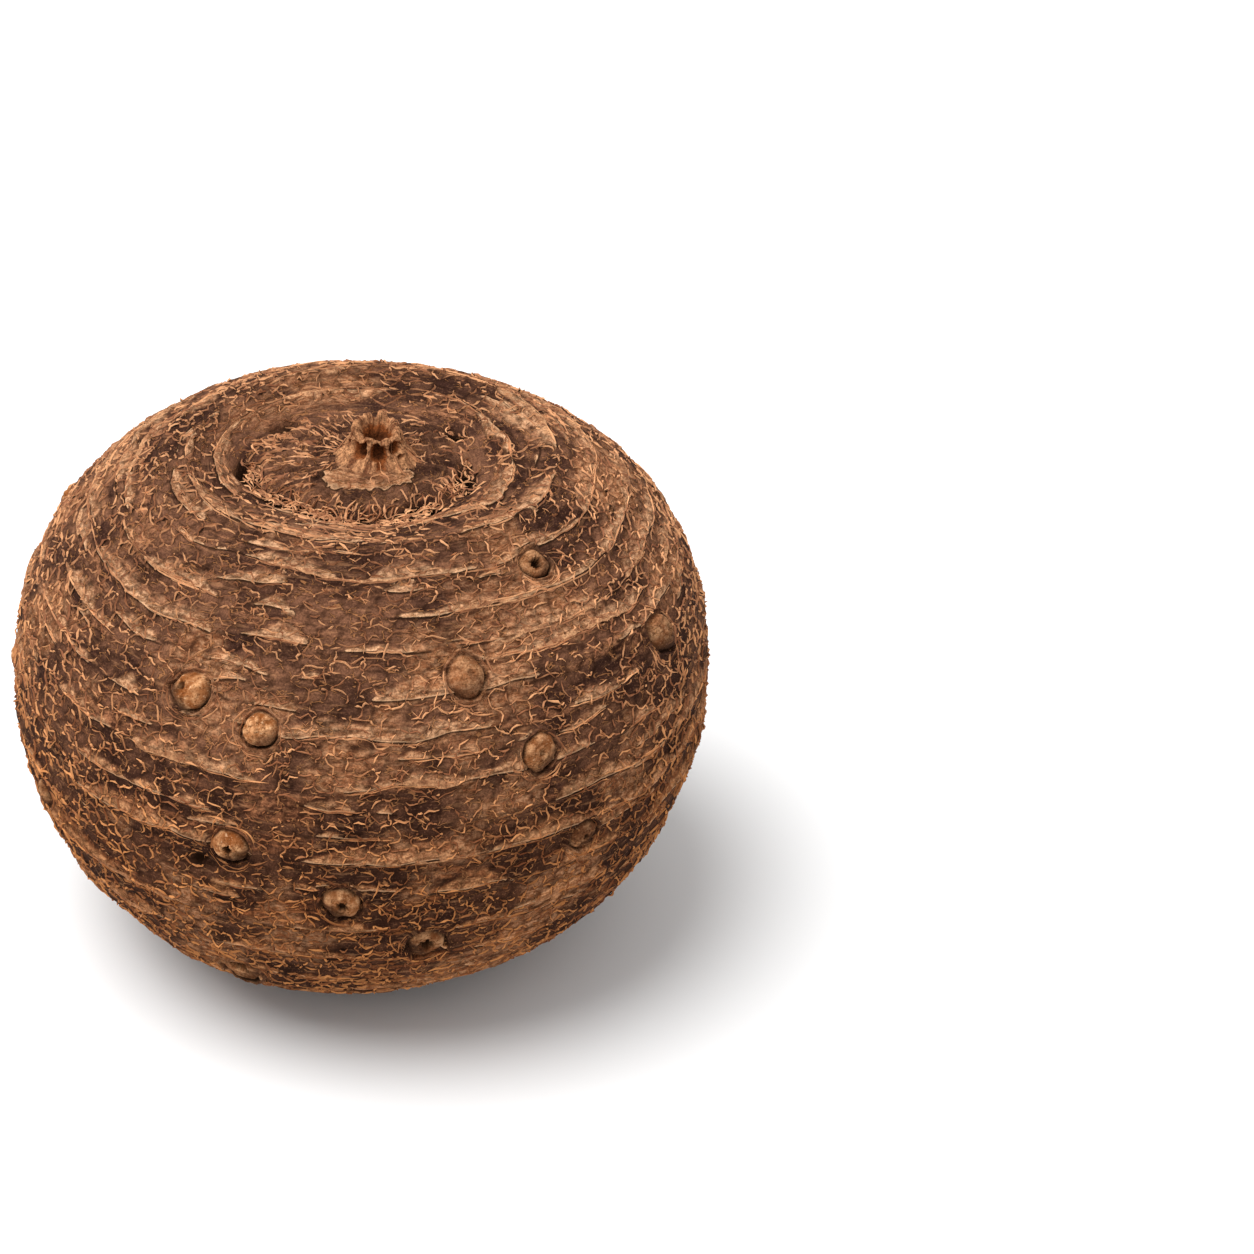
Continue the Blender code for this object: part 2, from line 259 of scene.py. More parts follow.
class Meridian:
    """The outline looked up by the distance walked along it from the top."""

    def __init__(self):
        self.radii, self.heights = closed_outline()
        steps = np.hypot(np.diff(self.radii), np.diff(self.heights))
        self.walks = np.concatenate(([0.0], np.cumsum(steps)))
        self.length = float(self.walks[-1])
        self.outs = -np.gradient(self.heights, self.walks)
        self.ups = np.gradient(self.radii, self.walks)

    def at(self, walk):
        """Radius, height and the two parts of the outward normal."""
        rows = (self.radii, self.heights, self.outs, self.ups)
        return [np.interp(walk, self.walks, row) for row in rows]

    def walk_to_height(self, height):
        """Distance from the top down to a height on the side of the corm."""
        start = int(np.searchsorted(self.radii[: MERIDIAN_STEPS // 4], DISH_OUTER))
        return float(np.interp(-height, -self.heights[start:], self.walks[start:]))


def waves(terms, azimuth):
    """Sum of low harmonics round the corm."""
    return sum(height * np.sin(count * azimuth + phase) for count, height, phase in terms)


def growth_ridges():
    """Places, heights and phases of the growth ridges, as in the solid."""
    draw = random.Random(RIDGE_SEED)
    ridges = []
    walk = RIDGE_FIRST
    while walk < meridian.length - RIDGE_LAST_GAP:
        ridges.append((walk, draw.uniform(*RIDGE_HEIGHT), draw.uniform(0.0, math.tau)))
        share = ease(0.0, meridian.length / 2.0, walk)
        spacing = RIDGE_SPACING[0] + (RIDGE_SPACING[1] - RIDGE_SPACING[0]) * float(share)
        walk += spacing * draw.uniform(0.85, 1.15)
    return ridges


def bud_places():
    """Azimuths, heights, widths and stands of every bud, as in the solid."""
    draw = random.Random(BACK_BUD_SEED)
    places = [(math.radians(turn), *sizes) for turn, *sizes in FRONT_BUDS]
    for number in range(BACK_BUD_COUNT):
        share = (number + 0.5) / BACK_BUD_COUNT
        turn = BACK_BUD_ARC[0] + share * (BACK_BUD_ARC[1] - BACK_BUD_ARC[0])
        turn += draw.uniform(-BACK_BUD_TURN_JITTER, BACK_BUD_TURN_JITTER)
        rise = (number * GOLDEN_SHARE) % 1.0
        height = BACK_BUD_HEIGHT[0] + rise * (BACK_BUD_HEIGHT[1] - BACK_BUD_HEIGHT[0])
        width = draw.uniform(*BACK_BUD_WIDTH)
        stand = draw.uniform(*BACK_BUD_STAND)
        places.append((math.radians(turn), height, width, stand))
    return places


def bud_kinds():
    """Which kind each bud is: the measured ones as they look, the rest drawn."""
    draw = random.Random(BACK_BUD_SEED + 1)
    return list(FRONT_KINDS) + [draw.choice(BACK_KINDS) for _ in range(BACK_BUD_COUNT)]


def band_lines():
    """Lower edges of the papery bands: a walk, a sway with its lobes and phase, and how much shows."""
    draw = random.Random(BAND_SEED)
    lines = [(MOAT_RADIUS + 6.0 * MM, 0.5 * MM, 3, 1.1, 0.30)]
    for spot, _, _ in RIDGES:
        more = 0.20 if spot < 90 * MM else 0.06
        lines.append((spot, 0.0, 1, 0.0, more))
        between = spot + draw.uniform(3.5, 6.5) * MM
        sway = draw.uniform(0.5, 1.0) * BAND_SWAY
        lines.append((between, sway, draw.choice((1, 2, 3)), draw.uniform(0.0, math.tau), more - 0.26))
    return lines


UPWARD = np.array([0.0, 0.0, 1.0])
meridian = Meridian()
RIDGES = growth_ridges()
BUDS = bud_places()
BAND_LINES = band_lines()


def on_form(walk, azimuth, lift):
    """Points of the turned form at walk and azimuth, raised by lift."""
    radius, height, out, up = meridian.at(walk)
    radius = radius + out * lift
    height = height + up * lift
    across = radius * np.sin(azimuth) + LEAN * (height - GIRTH_HEIGHT) + CENTRE_SHIFT[0]
    return points_of(across, -radius * np.cos(azimuth) + CENTRE_SHIFT[1], height)


def wandered(walk, azimuth):
    """Where a row of skin runs once the moat and the ridges wander, as in the solid."""
    ridge_share = ease(MOAT_RADIUS, 2.0 * MOAT_RADIUS, walk)
    moat_share = ease(0.0, MOAT_RADIUS, walk) * (1.0 - ridge_share)
    ridge_share = ridge_share * (1.0 - ease(meridian.length - LOW_WANDER, meridian.length, walk))
    shift = moat_share * waves(MOAT_WARPS, azimuth) + ridge_share * waves(RIDGE_WARPS, azimuth)
    return walk + shift


def on_skin(walk, azimuth, lift):
    """Points of the form where the skin's rows wander, raised by lift."""
    return on_form(wandered(walk, azimuth), azimuth, lift)


def field(points, size, salt, octaves=1):
    """Smooth random field from -1 to 1 whose lumps are about size metres wide."""
    scaled = (points / size + np.array([17.3, 5.1, 9.7]) * salt).tolist()
    if octaves == 1:
        return np.array([noise.noise(spot) for spot in scaled])
    return np.array([noise.fractal(spot, 1.0, 2.0, octaves) for spot in scaled])


def chart(walk, azimuth, stretch):
    """Coordinates in which a pattern is drawn out along the growth rings by stretch."""
    radius = meridian.at(walk)[0] / stretch
    return points_of(radius * np.sin(azimuth), radius * np.cos(azimuth), walk)


def skin_rows():
    """Distances of the skin's rows, close together and with a row on every crest."""
    marks = [0.0, MOAT_RADIUS]
    for place, _, _ in RIDGES:
        marks += [place - RIDGE_RISE, place, place + RIDGE_FALL]
    marks.append(meridian.length)
    marks.sort()
    rows = [0.0]
    for low, high in zip(marks, marks[1:]):
        count = max(1, round((high - low) / SKIN_ROW_GAP))
        rows += [low + (high - low) * step / count for step in range(1, count + 1)]
    return np.array(rows)


def circumcentres(first, second, third):
    """Middle of the circle through three corners, for many triangles at once."""
    side, other = second - first, third - first
    twice = 2.0 * (side[:, 0] * other[:, 1] - side[:, 1] * other[:, 0])
    side_square, other_square = (side**2).sum(axis=1), (other**2).sum(axis=1)
    across = (other[:, 1] * side_square - side[:, 1] * other_square) / twice
    along = (side[:, 0] * other_square - other[:, 0] * side_square) / twice
    return first + np.stack([across, along], axis=-1)


class Plates:
    """The plates that the skin has cracked into: the cells round seeded middles.

    They are laid out in a chart of azimuth and rise that keeps angles, apart from a stretch
    along the rings, which is strongest near the crown and the base.
    """

    def __init__(self):
        draw = np.random.default_rng(PLATE_SEED)
        self.spots = np.linspace(MOAT_RADIUS + 5 * MM, meridian.length - 1 * MM, 3000)
        stretch = np.interp(self.spots, PLATE_STRETCH_WALKS, PLATE_STRETCH)
        self.rises = np.cumsum(stretch / meridian.at(self.spots)[0]) * (self.spots[1] - self.spots[0])
        walks, turns = [], []
        at = self.spots[0]
        while at < self.spots[-1]:
            pull = float(np.interp(at, PLATE_STRETCH_WALKS, PLATE_STRETCH)) ** 0.5
            gap = PLATE_SPACING / pull
            count = int(math.tau * float(meridian.at(at)[0]) / (PLATE_SPACING * pull))
            turn = math.tau * (np.arange(count) + draw.random()) / count
            turns.append(turn + draw.uniform(-0.42, 0.42, count) * math.tau / count)
            walks.append(at + draw.uniform(-0.42, 0.42, count) * gap)
            at += gap
        turn = wrapped(np.concatenate(turns))
        walk = np.concatenate(walks)
        near = math.pi - np.abs(turn) < 0.3
        self.turns = np.concatenate([turn, turn[near] - np.sign(turn[near]) * math.tau])
        self.rises_at = np.interp(np.concatenate([walk, walk[near]]), self.spots, self.rises)
        self.tones = draw.random(len(turn))[np.concatenate([np.arange(len(turn)), np.nonzero(near)[0]])]
        self.middles = KDTree(len(self.turns))
        for number, (turn, rise) in enumerate(zip(self.turns.tolist(), self.rises_at.tolist())):
            self.middles.insert((turn, rise, 0.0), number)
        self.middles.balance()

    def marks(self, walk, azimuth):
        """Distance to the plate's edge, and the plate's tone."""
        turn = wrapped(azimuth)
        rise = np.interp(walk, self.spots, self.rises)
        stretch = np.interp(walk, PLATE_STRETCH_WALKS, PLATE_STRETCH)
        scale = meridian.at(walk)[0] / np.sqrt(stretch) / 2.0
        border, tone = np.empty(len(walk)), np.empty(len(walk))
        for number, spot in enumerate(zip(turn.tolist(), rise.tolist(), [0.0] * len(turn))):
            first, second = self.middles.find_n(spot, 2)
            border[number] = second[2] - first[2]
            tone[number] = self.tones[first[1]]
        return border * scale, tone

    def edges(self, draw):
        """Edges between plates: walks, azimuths, and whether each end meets another."""
        spots = [Vector(spot) for spot in zip(self.turns.tolist(), self.rises_at.tolist())]
        corners, _, cells, *_ = delaunay_2d_cdt(spots, [], [], 0, 1e-7)
        corners = np.array([tuple(corner) for corner in corners])
        cells = np.array(cells)
        centres = circumcentres(*(corners[cells[:, side]] for side in range(3)))
        sides = np.sort(np.concatenate([cells[:, [0, 1]], cells[:, [1, 2]], cells[:, [2, 0]]]), axis=1)
        owner = np.tile(np.arange(len(cells)), 3)
        order = np.lexsort((sides[:, 1], sides[:, 0]))
        sides, owner = sides[order], owner[order]
        shared = np.nonzero((sides[1:] == sides[:-1]).all(axis=1))[0]
        ends = np.stack([owner[shared], owner[shared + 1]])
        turns, rises = centres[ends][:, :, 0], centres[ends][:, :, 1]
        inside = (np.abs(turns.mean(axis=0)) <= math.pi) & (np.ptp(turns, axis=0) < 0.3)
        inside &= (rises > self.rises[0]).all(axis=0) & (rises < self.rises[-1]).all(axis=0)
        ends, turns, rises = ends[:, inside], turns[:, inside], rises[:, inside]
        walks = np.interp(rises, self.rises, self.spots)
        patchy = field(chart(walks.mean(axis=0), turns.mean(axis=0), 1.5), 13 * MM, 21, 2)
        keep = draw.random(walks.shape[1]) < np.clip(0.70 + 0.9 * patchy, 0.35, 0.97)
        walks, turns, ends = walks[:, keep], turns[:, keep], ends[:, keep]
        meets = np.bincount(ends.ravel(), minlength=len(cells))[ends] > 1
        return walks, turns, meets


plates = Plates()


def add_piece(name):
    """Names the object that the last operator made."""
    thing = bpy.context.object
    thing.name = name
    thing.data.name = name
    return thing


def add_sheet(name, columns, rows):
    """A flat sheet of columns by rows faces, with the numbers of each point's column and row."""
    bpy.ops.object.select_all(action="DESELECT")
    bpy.ops.mesh.primitive_grid_add(x_subdivisions=columns, y_subdivisions=rows, size=1.0)
    sheet = add_piece(name)
    flat = point_array(sheet)
    column = np.rint((flat[:, 0] + 0.5) * columns).astype(int)
    row = np.rint((0.5 - flat[:, 1]) * rows).astype(int)
    sheet.data.uv_layers[0].name = "OFBake"
    return sheet, column, row


def close_sheet(sheet):
    """Joins the two sides of a rolled sheet and the points that met at its poles."""
    bpy.context.view_layer.objects.active = sheet
    bpy.ops.object.mode_set(mode="EDIT")
    bpy.ops.mesh.select_all(action="SELECT")
    bpy.ops.mesh.remove_doubles(threshold=0.002 * MM)
    bpy.ops.mesh.normals_make_consistent(inside=False)
    bpy.ops.object.mode_set(mode="OBJECT")
    sheet.data.shade_smooth()


def point_array(thing):
    places = np.empty(len(thing.data.vertices) * 3)
    thing.data.vertices.foreach_get("co", places)
    return places.reshape(-1, 3)


def set_points(thing, places):
    thing.data.vertices.foreach_set("co", np.ascontiguousarray(places).ravel())
    thing.data.update()


def keep_numbers(thing, name, values):
    """Stores one number per point for the materials to read."""
    layer = thing.data.attributes.new(name, "FLOAT", "POINT")
    layer.data.foreach_set("value", np.asarray(values, dtype=np.float32))


def keep_places(thing, name, places):
    """Stores one place per point, in which a material draws its pattern."""
    layer = thing.data.attributes.new(name, "FLOAT_VECTOR", "POINT")
    layer.data.foreach_set("vector", places.astype(np.float32).ravel())


def around(walk, azimuth):
    """Points of a flat circle as wide as the corm at a walk, to read a field along a ring."""
    radius = float(meridian.at(walk)[0])
    return points_of(radius * np.sin(azimuth), radius * np.cos(azimuth), 0.0).reshape(-1, 3)


def band_course(number, azimuth):
    """Walk at which the lower edge of a band lies: near a ring, and never quite along it."""
    middle, sway, lobes, phase, _ = BAND_LINES[number]
    wander = field(around(middle, azimuth), 16 * MM, 90 + number, 2).reshape(azimuth.shape)
    return middle + sway * np.sin(lobes * azimuth + phase) + BAND_WANDER * wander


def band_width(number, azimuth):
    """Width of a band, below 0 where it is gone: it swells, tapers out and starts again.

    The band next to the moat shows only in front.
    """
    middle, _, _, _, more = BAND_LINES[number]
    shown = field(around(middle, azimuth), BAND_PATCH, 60 + number, 3).reshape(azimuth.shape) + more
    if number == 0:
        shown -= 0.5 - 0.5 * np.cos(azimuth)
    return BAND_WIDTH * np.clip(shown / 0.55, -0.25, 1.0)


def band_marks(walk, azimuth):
    """Signed depth into the nearest papery band, and the share of its width below this place."""
    depth, share = np.full(len(walk), -6.0 * MM), np.full(len(walk), 1.0)
    for number, (middle, sway, *_) in enumerate(BAND_LINES):
        slack = 6.0 * MM + sway + BAND_WANDER
        near = np.nonzero((walk < middle + slack) & (walk > middle - slack - BAND_WIDTH))[0]
        above = band_course(number, azimuth[near]) - walk[near]
        width = band_width(number, azimuth[near])
        inside = np.minimum(above, width - above)
        better = inside > depth[near]
        pick = near[better]
        depth[pick] = inside[better]
        share[pick] = np.clip(above[better] / np.maximum(width[better], 0.6 * MM), -1.0, 1.0)
    return depth, share


def keep_skin_marks(thing, walk, azimuth, ringed=1.0):
    """What the skin's material reads: plates, bands, rubbed patches, and soil with painted shade.

    Plates and bands fade out where ringed falls to 0, as on the knob of a bud.
    """
    border, tone = plates.marks(walk, azimuth)
    outer = ease(MOAT_RADIUS, MOAT_RADIUS + 8 * MM, walk)
    hump = 1.0 - ease(MOAT_RADIUS - 2 * MM, MOAT_RADIUS + 5 * MM, walk)
    front = front_sheet(walk, azimuth)
    depth, share = band_marks(walk, azimuth)
    depth = (1.0 - hump) * depth + hump * front
    share = (1.0 - hump) * share + hump * np.clip(front / (9 * MM), -1.0, 1.0)
    rubbed = field(on_form(walk, azimuth, 0.0), 30 * MM, 41, 3) + 0.05 * np.sin(azimuth)
    rubbed = 0.7 * ease(0.16, 0.5, rubbed) * ease(MOAT_RADIUS, MOAT_RADIUS + 10 * MM, walk)
    # Darkest in the moat's pockets and dark along the moat, as deep as the skin sinks there, and a little
    # darker on the hump inside it: painted shade with soil
    soil_and_shade = np.maximum(0.45 * moat_share(walk, azimuth), moat_pockets(walk, azimuth))
    soil_and_shade = np.maximum(soil_and_shade, 0.30 * (1.0 - ease(MOAT_RADIUS - 4 * MM, MOAT_RADIUS, walk)))
    keep_places(thing, "grain", chart(walk, azimuth, GRAIN_STRETCH))
    for name, values in (
        ("moat", soil_and_shade),
        ("tone", tone),
        ("border", border + 3 * MM * (1.0 - outer) + 3 * MM * (1.0 - ringed)),
        ("band", depth * ringed - 3 * MM * (1.0 - ringed)),
        ("share", share),
        ("rubbed", np.maximum(ease(-0.8 * MM, 0.8 * MM, front), rubbed)),
    ):
        keep_numbers(thing, name, values)


def front_sheet(walk, azimuth):
    """Signed distance into the rubbed sheet in front of the stub."""
    turn, half, outer = RUBBED_FRONT
    wavy = 2.6 * MM * field(on_form(walk, azimuth, 0.0), 5 * MM, 44, 3)
    beside = np.abs(wrapped(azimuth - math.radians(turn)))
    return np.minimum(outer - walk, walk * (math.radians(half) - beside)) + wavy


def spokes(walk, azimuth):
    """Coordinates in which a pattern runs out from the stub."""
    return points_of(30 * MM * np.sin(azimuth), 30 * MM * np.cos(azimuth), walk * 0.35)


def hollow_share(walk, azimuth):
    """1 in the middle of each torn hollow, and how deep it goes there."""
    share, depth = np.zeros(len(walk)), np.zeros(len(walk))
    for turn, height, reach, deep in HOLLOWS:
        spot = meridian.walk_to_height(height)
        beside = meridian.at(walk)[0] * wrapped(azimuth - math.radians(turn))
        here = hill(walk, spot, 0.55 * reach) * hill(beside, 0.0, reach)
        share = np.maximum(share, here)
        depth = np.maximum(depth, here * deep)
    return share, depth


def moat_share(walk, azimuth):
    """1 in the middle of the moat, less behind the stub, where it has closed."""
    shown = 0.55 + 0.45 * np.cos(azimuth - 0.2)
    return shown * hill(walk, MOAT_RADIUS, MOAT_HALF_WIDTH)


def moat_pockets(walk, azimuth):
    """1 in the deep pockets where the crown has torn away from the skin."""
    share = np.zeros(len(walk))
    wavy = walk - MOAT_RADIUS - 1.6 * MM * field(on_form(walk, azimuth, 0.0), 6 * MM, 43)
    for turn, half in MOAT_POCKETS:
        away = wrapped(azimuth - math.radians(turn)) / math.radians(half)
        share = np.maximum(share, np.exp(-(away**4) - (wavy / POCKET_HALF_WIDTH) ** 4))
    return share


def crest_fade(number, phase, walk, azimuth):
    """How strongly a growth ridge shows: it comes and goes round the corm."""
    along = field(on_form(walk, azimuth, 0.0), 26 * MM, 1 + number)
    return (0.75 + 0.25 * np.sin(2.0 * azimuth + phase)) * (1.0 + 0.5 * along)


def weathered(walk, azimuth):
    """Height of the skin over the turned form: lobes, ridges, moat, plates, bands and wrinkles."""
    place = wandered(walk, azimuth)
    bare = on_form(place, azimuth, 0.0)
    radius = meridian.at(place)[0]
    lift = (radius / GIRTH_RADIUS) * waves(LOBES, azimuth)
    ridge = np.zeros(len(walk))
    for number, (spot, height, phase) in enumerate(RIDGES):
        from_crest = walk - spot
        run = np.where(from_crest < 0.0, RIDGE_RISE, RIDGE_FALL)
        share = np.clip(1.0 - np.abs(from_crest) / run, 0.0, 1.0)
        near = share > 0.0
        fade = crest_fade(number, phase, walk[near], azimuth[near])
        ridge[near] = np.maximum(ridge[near], 0.85 * height * fade * ease(0.0, 1.0, share[near]))
    lift += ridge
    lift -= 0.7 * MOAT_DEPTH * moat_share(walk, azimuth) + POCKET_DEPTH * moat_pockets(walk, azimuth)
    lift -= hollow_share(walk, azimuth)[1]

    outer = ease(MOAT_RADIUS, MOAT_RADIUS + 8 * MM, walk)
    border = plates.marks(walk, azimuth)[0]
    lift += outer * 0.25 * MM * hill(border, 0.0, 0.7 * MM) - SKIN_SETTLE
    depth, share = band_marks(walk, azimuth)
    lift += outer * 0.42 * MM * ease(-0.6 * MM, 0.5 * MM, depth) * (1.0 - 0.8 * ease(0.1, 1.0, share))
    lift += outer * 0.22 * MM * field(chart(walk, azimuth, 2.0), 3.2 * MM, 3, 3)
    lift += 0.45 * MM * field(bare, 13 * MM, 4)
    hump = 1.0 - ease(MOAT_RADIUS - 5 * MM, MOAT_RADIUS, walk)
    front = ease(-0.6 * MM, 0.6 * MM, front_sheet(walk, azimuth))
    creases = 1.1 * MM * field(spokes(walk, azimuth), 2.6 * MM, 5, 3)
    lift += hump * ease(3 * MM, 14 * MM, walk) * (1.0 - 0.8 * front) * creases
    lift += hump * 0.22 * MM * front
    return lift * (1.0 - ease(meridian.length - LOW_RELIEF, meridian.length, walk))


def bud_frame(azimuth, height):
    """Foot, outward normal and two sideways directions of a bud."""
    walk = meridian.walk_to_height(height)
    foot = on_form(np.array([walk]), np.array([azimuth]), 0.0)[0]
    _, _, out, up = meridian.at(walk)
    normal = np.array([out * math.sin(azimuth), -out * math.cos(azimuth), up])
    normal /= np.linalg.norm(normal)
    aside = np.array([math.cos(azimuth), math.sin(azimuth), 0.0])
    return walk, foot, normal, aside, np.cross(normal, aside)


def bud_distance(places):
    """Distance to the nearest bud's middle, in that bud's knob radii."""
    nearest = np.full(len(places), 9.0)
    for azimuth, height, width, _ in BUDS:
        _, foot, normal, _, _ = bud_frame(azimuth, height)
        offset = places - foot
        flat = offset - (offset @ normal)[:, None] * normal
        reach = np.linalg.norm(flat, axis=1) / (width / 2.0)
        reach += 9.0 * (np.linalg.norm(offset, axis=1) > 25 * MM)
        nearest = np.minimum(nearest, reach)
    return nearest


def model_skin():
    """The corm's skin: a sheet rolled round the form from hump to base, then weathered."""
    rows = skin_rows()
    last = len(rows) - 1
    skin, column, row = add_sheet("skin", SKIN_SEGMENTS, last + BASE_ROWS)
    azimuth = math.tau * column / SKIN_SEGMENTS - math.pi
    walk = rows[np.minimum(row, last)]
    inward = np.clip((row - last) / BASE_ROWS, 0.0, 1.0)

    lift = weathered(walk, azimuth)
    lift = np.where(row == 0, lift[row == 0].mean(), lift)
    places = on_skin(walk, azimuth, lift)
    seat = 1.0 - ease(0.75, 1.15, bud_distance(places))
    places = on_skin(walk, azimuth, lift - seat * BUD_SEAT)
    base = row >= last
    middle = np.array([LEAN * -GIRTH_HEIGHT + CENTRE_SHIFT[0], CENTRE_SHIFT[1], 0.0])
    places[base] = middle + (places[base] - middle) * (1.0 - inward[base])[:, None]
    places[:, 2] = np.maximum(places[:, 2], 0.0)
    set_points(skin, places)
    keep_skin_marks(skin, walk, azimuth)
    # The torn hollows are painted dark, as deep as they sink: painted shade
    ragged = 0.9 + 0.7 * field(places, 1.6 * MM, 42, 2)
    keep_numbers(skin, "groove", ease(0.25, 0.75, hollow_share(walk, azimuth)[0] * ragged))
    keep_numbers(skin, "dent", np.zeros(len(walk)))
    keep_numbers(skin, "knob", np.zeros(len(walk)))
    close_sheet(skin)
    return skin


def bud_cracks(draw, count, angle, reach):
    """1 along each of a bud's cracks, which run out from its middle."""
    crack = np.zeros(len(angle))
    for turn in range(count):
        heading = math.tau * (turn + draw.uniform(-0.3, 0.3)) / count
        away = wrapped(angle - heading) * reach
        length = draw.uniform(0.55, 1.0)
        shown = ease(0.02, 0.12, reach) * (1.0 - ease(length * 0.8, length, reach))
        crack = np.maximum(crack, hill(away, 0.0, 0.15) * shown * draw.uniform(0.3, 0.8))
    return crack


def model_bud(number, skin_tree, kind, azimuth, height, width, stand):
    """One bud: a cracked knob, scar or pit in a dark groove with a torn rim of skin.

    Reach is the distance from the bud's middle in knob radii, and rise the height over the skin.
    """
    roundness, stand_share, pit_radius, pit_depth, crack_count, crack_depth, bare = BUD_KINDS[kind]
    draw = random.Random(40 + number)
    walk, foot, normal, aside, upward = bud_frame(azimuth, height)
    bud, column, row = add_sheet(f"bud_{number}", BUD_SEGMENTS, BUD_ROWS)
    angle = math.tau * column / BUD_SEGMENTS
    reach = BUD_REACH * (row / BUD_ROWS) ** 0.8
    knob = width / 2.0
    turned = points_of(np.cos(angle), np.sin(angle), 3.1 * number)
    ragged = field(turned * MM, 0.55 * MM, 7, 2)
    oval = 1.0 + 0.07 * np.sin(2.0 * angle + number)
    out = reach * knob * oval * (1.0 + 0.16 * ragged * ease(0.1, 1.2, reach))
    flat = out[:, None] * (np.cos(angle)[:, None] * aside + np.sin(angle)[:, None] * upward)
    spot = points_of(out * np.cos(angle), out * np.sin(angle), 0.1 * number)

    inside = np.clip(1.0 - (reach / 0.90) ** roundness, 0.0, 1.0) ** 0.55
    rise = stand * stand_share * inside
    edge = 1.0 + 0.5 * field(turned * 3.0 * MM, 1.0 * MM, 14, 2)
    sideways, raised = PIT_SHIFTS.get(kind, (0.0, 0.0))
    pit_reach = np.hypot(reach * np.cos(angle) - sideways, reach * np.sin(angle) - raised)
    pit = 1.0 - ease(0.55, 1.0, pit_reach / pit_radius * edge)
    rise -= pit * pit_depth
    crack = bud_cracks(draw, crack_count, angle, reach)
    sway = 2.2 * field(turned * 2.0 * MM, 2.0 * MM, 18) + number
    dents = 0.5 + 0.5 * np.sin(max(crack_count, 3) * angle + sway)
    dents = dents * ease(0.15, 0.75, reach) * (1.0 - ease(0.88, 0.96, reach))
    ring = hill(pit_reach - 0.06 * ragged, 0.42, 0.06)
    rise -= crack * crack_depth + 0.45 * MM * dents + 0.30 * MM * ring
    lumps = 0.16 * MM * field(spot, 1.7 * MM, 8, 2) + 0.30 * MM * field(spot, 3.6 * MM, 9)
    rise += lumps * (1.0 - ease(1.3, BUD_REACH, reach))
    groove = hill(reach, 0.955, 0.07)
    depth = (1.0 - 0.85 * np.sin(angle + draw.uniform(-0.9, 0.5))) * (0.45 if kind == "smooth" else 1.0)
    rise -= groove * (0.15 + 0.6 * depth) * MM
    rise += hill(reach, 1.10, 0.055) * (0.8 + 0.8 * ragged) * MM
    if kind == "torn":
        lower = np.clip(-np.sin(angle), 0.0, 1.0) ** 2
        rise += lower * hill(reach, 0.98, 0.16) * (3.4 + 1.6 * ragged) * MM
        bare = 0.4 + 0.5 * lower

    settle = ease(0.95, 1.35, reach)
    lie = np.array([lying_height(skin_tree, foot + offset, normal) for offset in flat])
    level = float(np.median(lie[reach > 1.25]))
    rise += settle * lie + (1.0 - settle) * level - 0.6 * MM * ease(1.35, BUD_REACH, reach)
    places = foot + flat + rise[:, None] * normal
    places[row == 0] = places[row == 0].mean(axis=0)
    set_points(bud, places)

    walks, turns = walk - out * np.sin(angle), azimuth + out * np.cos(angle) / meridian.at(walk)[0]
    keep_skin_marks(bud, walks, turns, ease(0.95, 1.3, reach))
    # Groove and pit are painted darker the deeper they sink, most on the lower side: painted shade with
    # soil
    soil_and_shade = np.maximum(groove * (0.25 + 0.55 * depth), pit**0.7 * min(1.0, pit_depth / (1.1 * MM)))
    # The bud's lower side is painted as shade: darker in its groove, with less bare cork showing
    below = reach * np.cos(angle + math.pi / 2.0 + draw.uniform(-0.9, 0.9))
    shaded_below = ease(0.0, 0.7, below + 0.2 * ragged)
    keep_numbers(bud, "groove", np.maximum(soil_and_shade, 0.45 * shaded_below * (1.0 - ease(0.92, 1.0, reach))))
    keep_numbers(bud, "dent", np.maximum(np.maximum(crack, 0.75 * dents), 0.6 * ring))
    keep_numbers(bud, "knob", bare * (1.0 - ease(0.88, 0.95, reach)) * (1.0 - 0.85 * shaded_below))
    close_sheet(bud)
    return bud


def lying_height(skin_tree, spot, normal):
    """How far the skin lies above a spot along the normal."""
    hit = skin_tree.ray_cast(Vector(spot + normal * 15 * MM), Vector(-normal), 40 * MM)[0]
    return 0.0 if hit is None else float((np.array(hit) - spot) @ normal)


def tree_of(*things):
    """A lookup of the surface of finished pieces."""
    points, faces = [], []
    for thing in things:
        faces += [tuple(corner + len(points) for corner in face.vertices) for face in thing.data.polygons]
        points += point_array(thing).tolist()
    return BVHTree.FromPolygons(points, faces)


def nearest_ground(tree, walks, turns):
    """Where paths lie on the skin, and the outward direction there."""
    flat_walks, flat_turns = walks.ravel(), turns.ravel()
    bare = on_skin(flat_walks, flat_turns, 0.2 * MM)
    _, _, outs, ups = meridian.at(flat_walks)
    normals = points_of(outs * np.sin(flat_turns), -outs * np.cos(flat_turns), ups)
    normals /= np.linalg.norm(normals, axis=1)[:, None]
    lying = np.array([tree.find_nearest(spot)[0] for spot in bare.tolist()])
    return lying.reshape(*walks.shape, 3), normals.reshape(*walks.shape, 3)


def dropped_ground(tree, walks, turns):
    """The same for the crown: paths are dropped on what lies uppermost, and bridge the pockets."""
    flat_walks, flat_turns = walks.ravel(), turns.ravel()
    bare = on_skin(flat_walks, flat_turns, 0.0)
    lying, normals = bare.copy(), np.tile(UPWARD, (len(bare), 1))
    for number, spot in enumerate(bare):
        hit, normal, _, _ = tree.ray_cast(Vector(spot + UPWARD * 30 * MM), Vector(-UPWARD), 60 * MM)
        if hit is not None:
            lying[number], normals[number] = hit, normal
    lying[:, 2] = np.maximum(lying[:, 2], bare[:, 2] - SKIN_SETTLE - 1.6 * MM)
    return lying.reshape(*walks.shape, 3), normals.reshape(*walks.shape, 3)


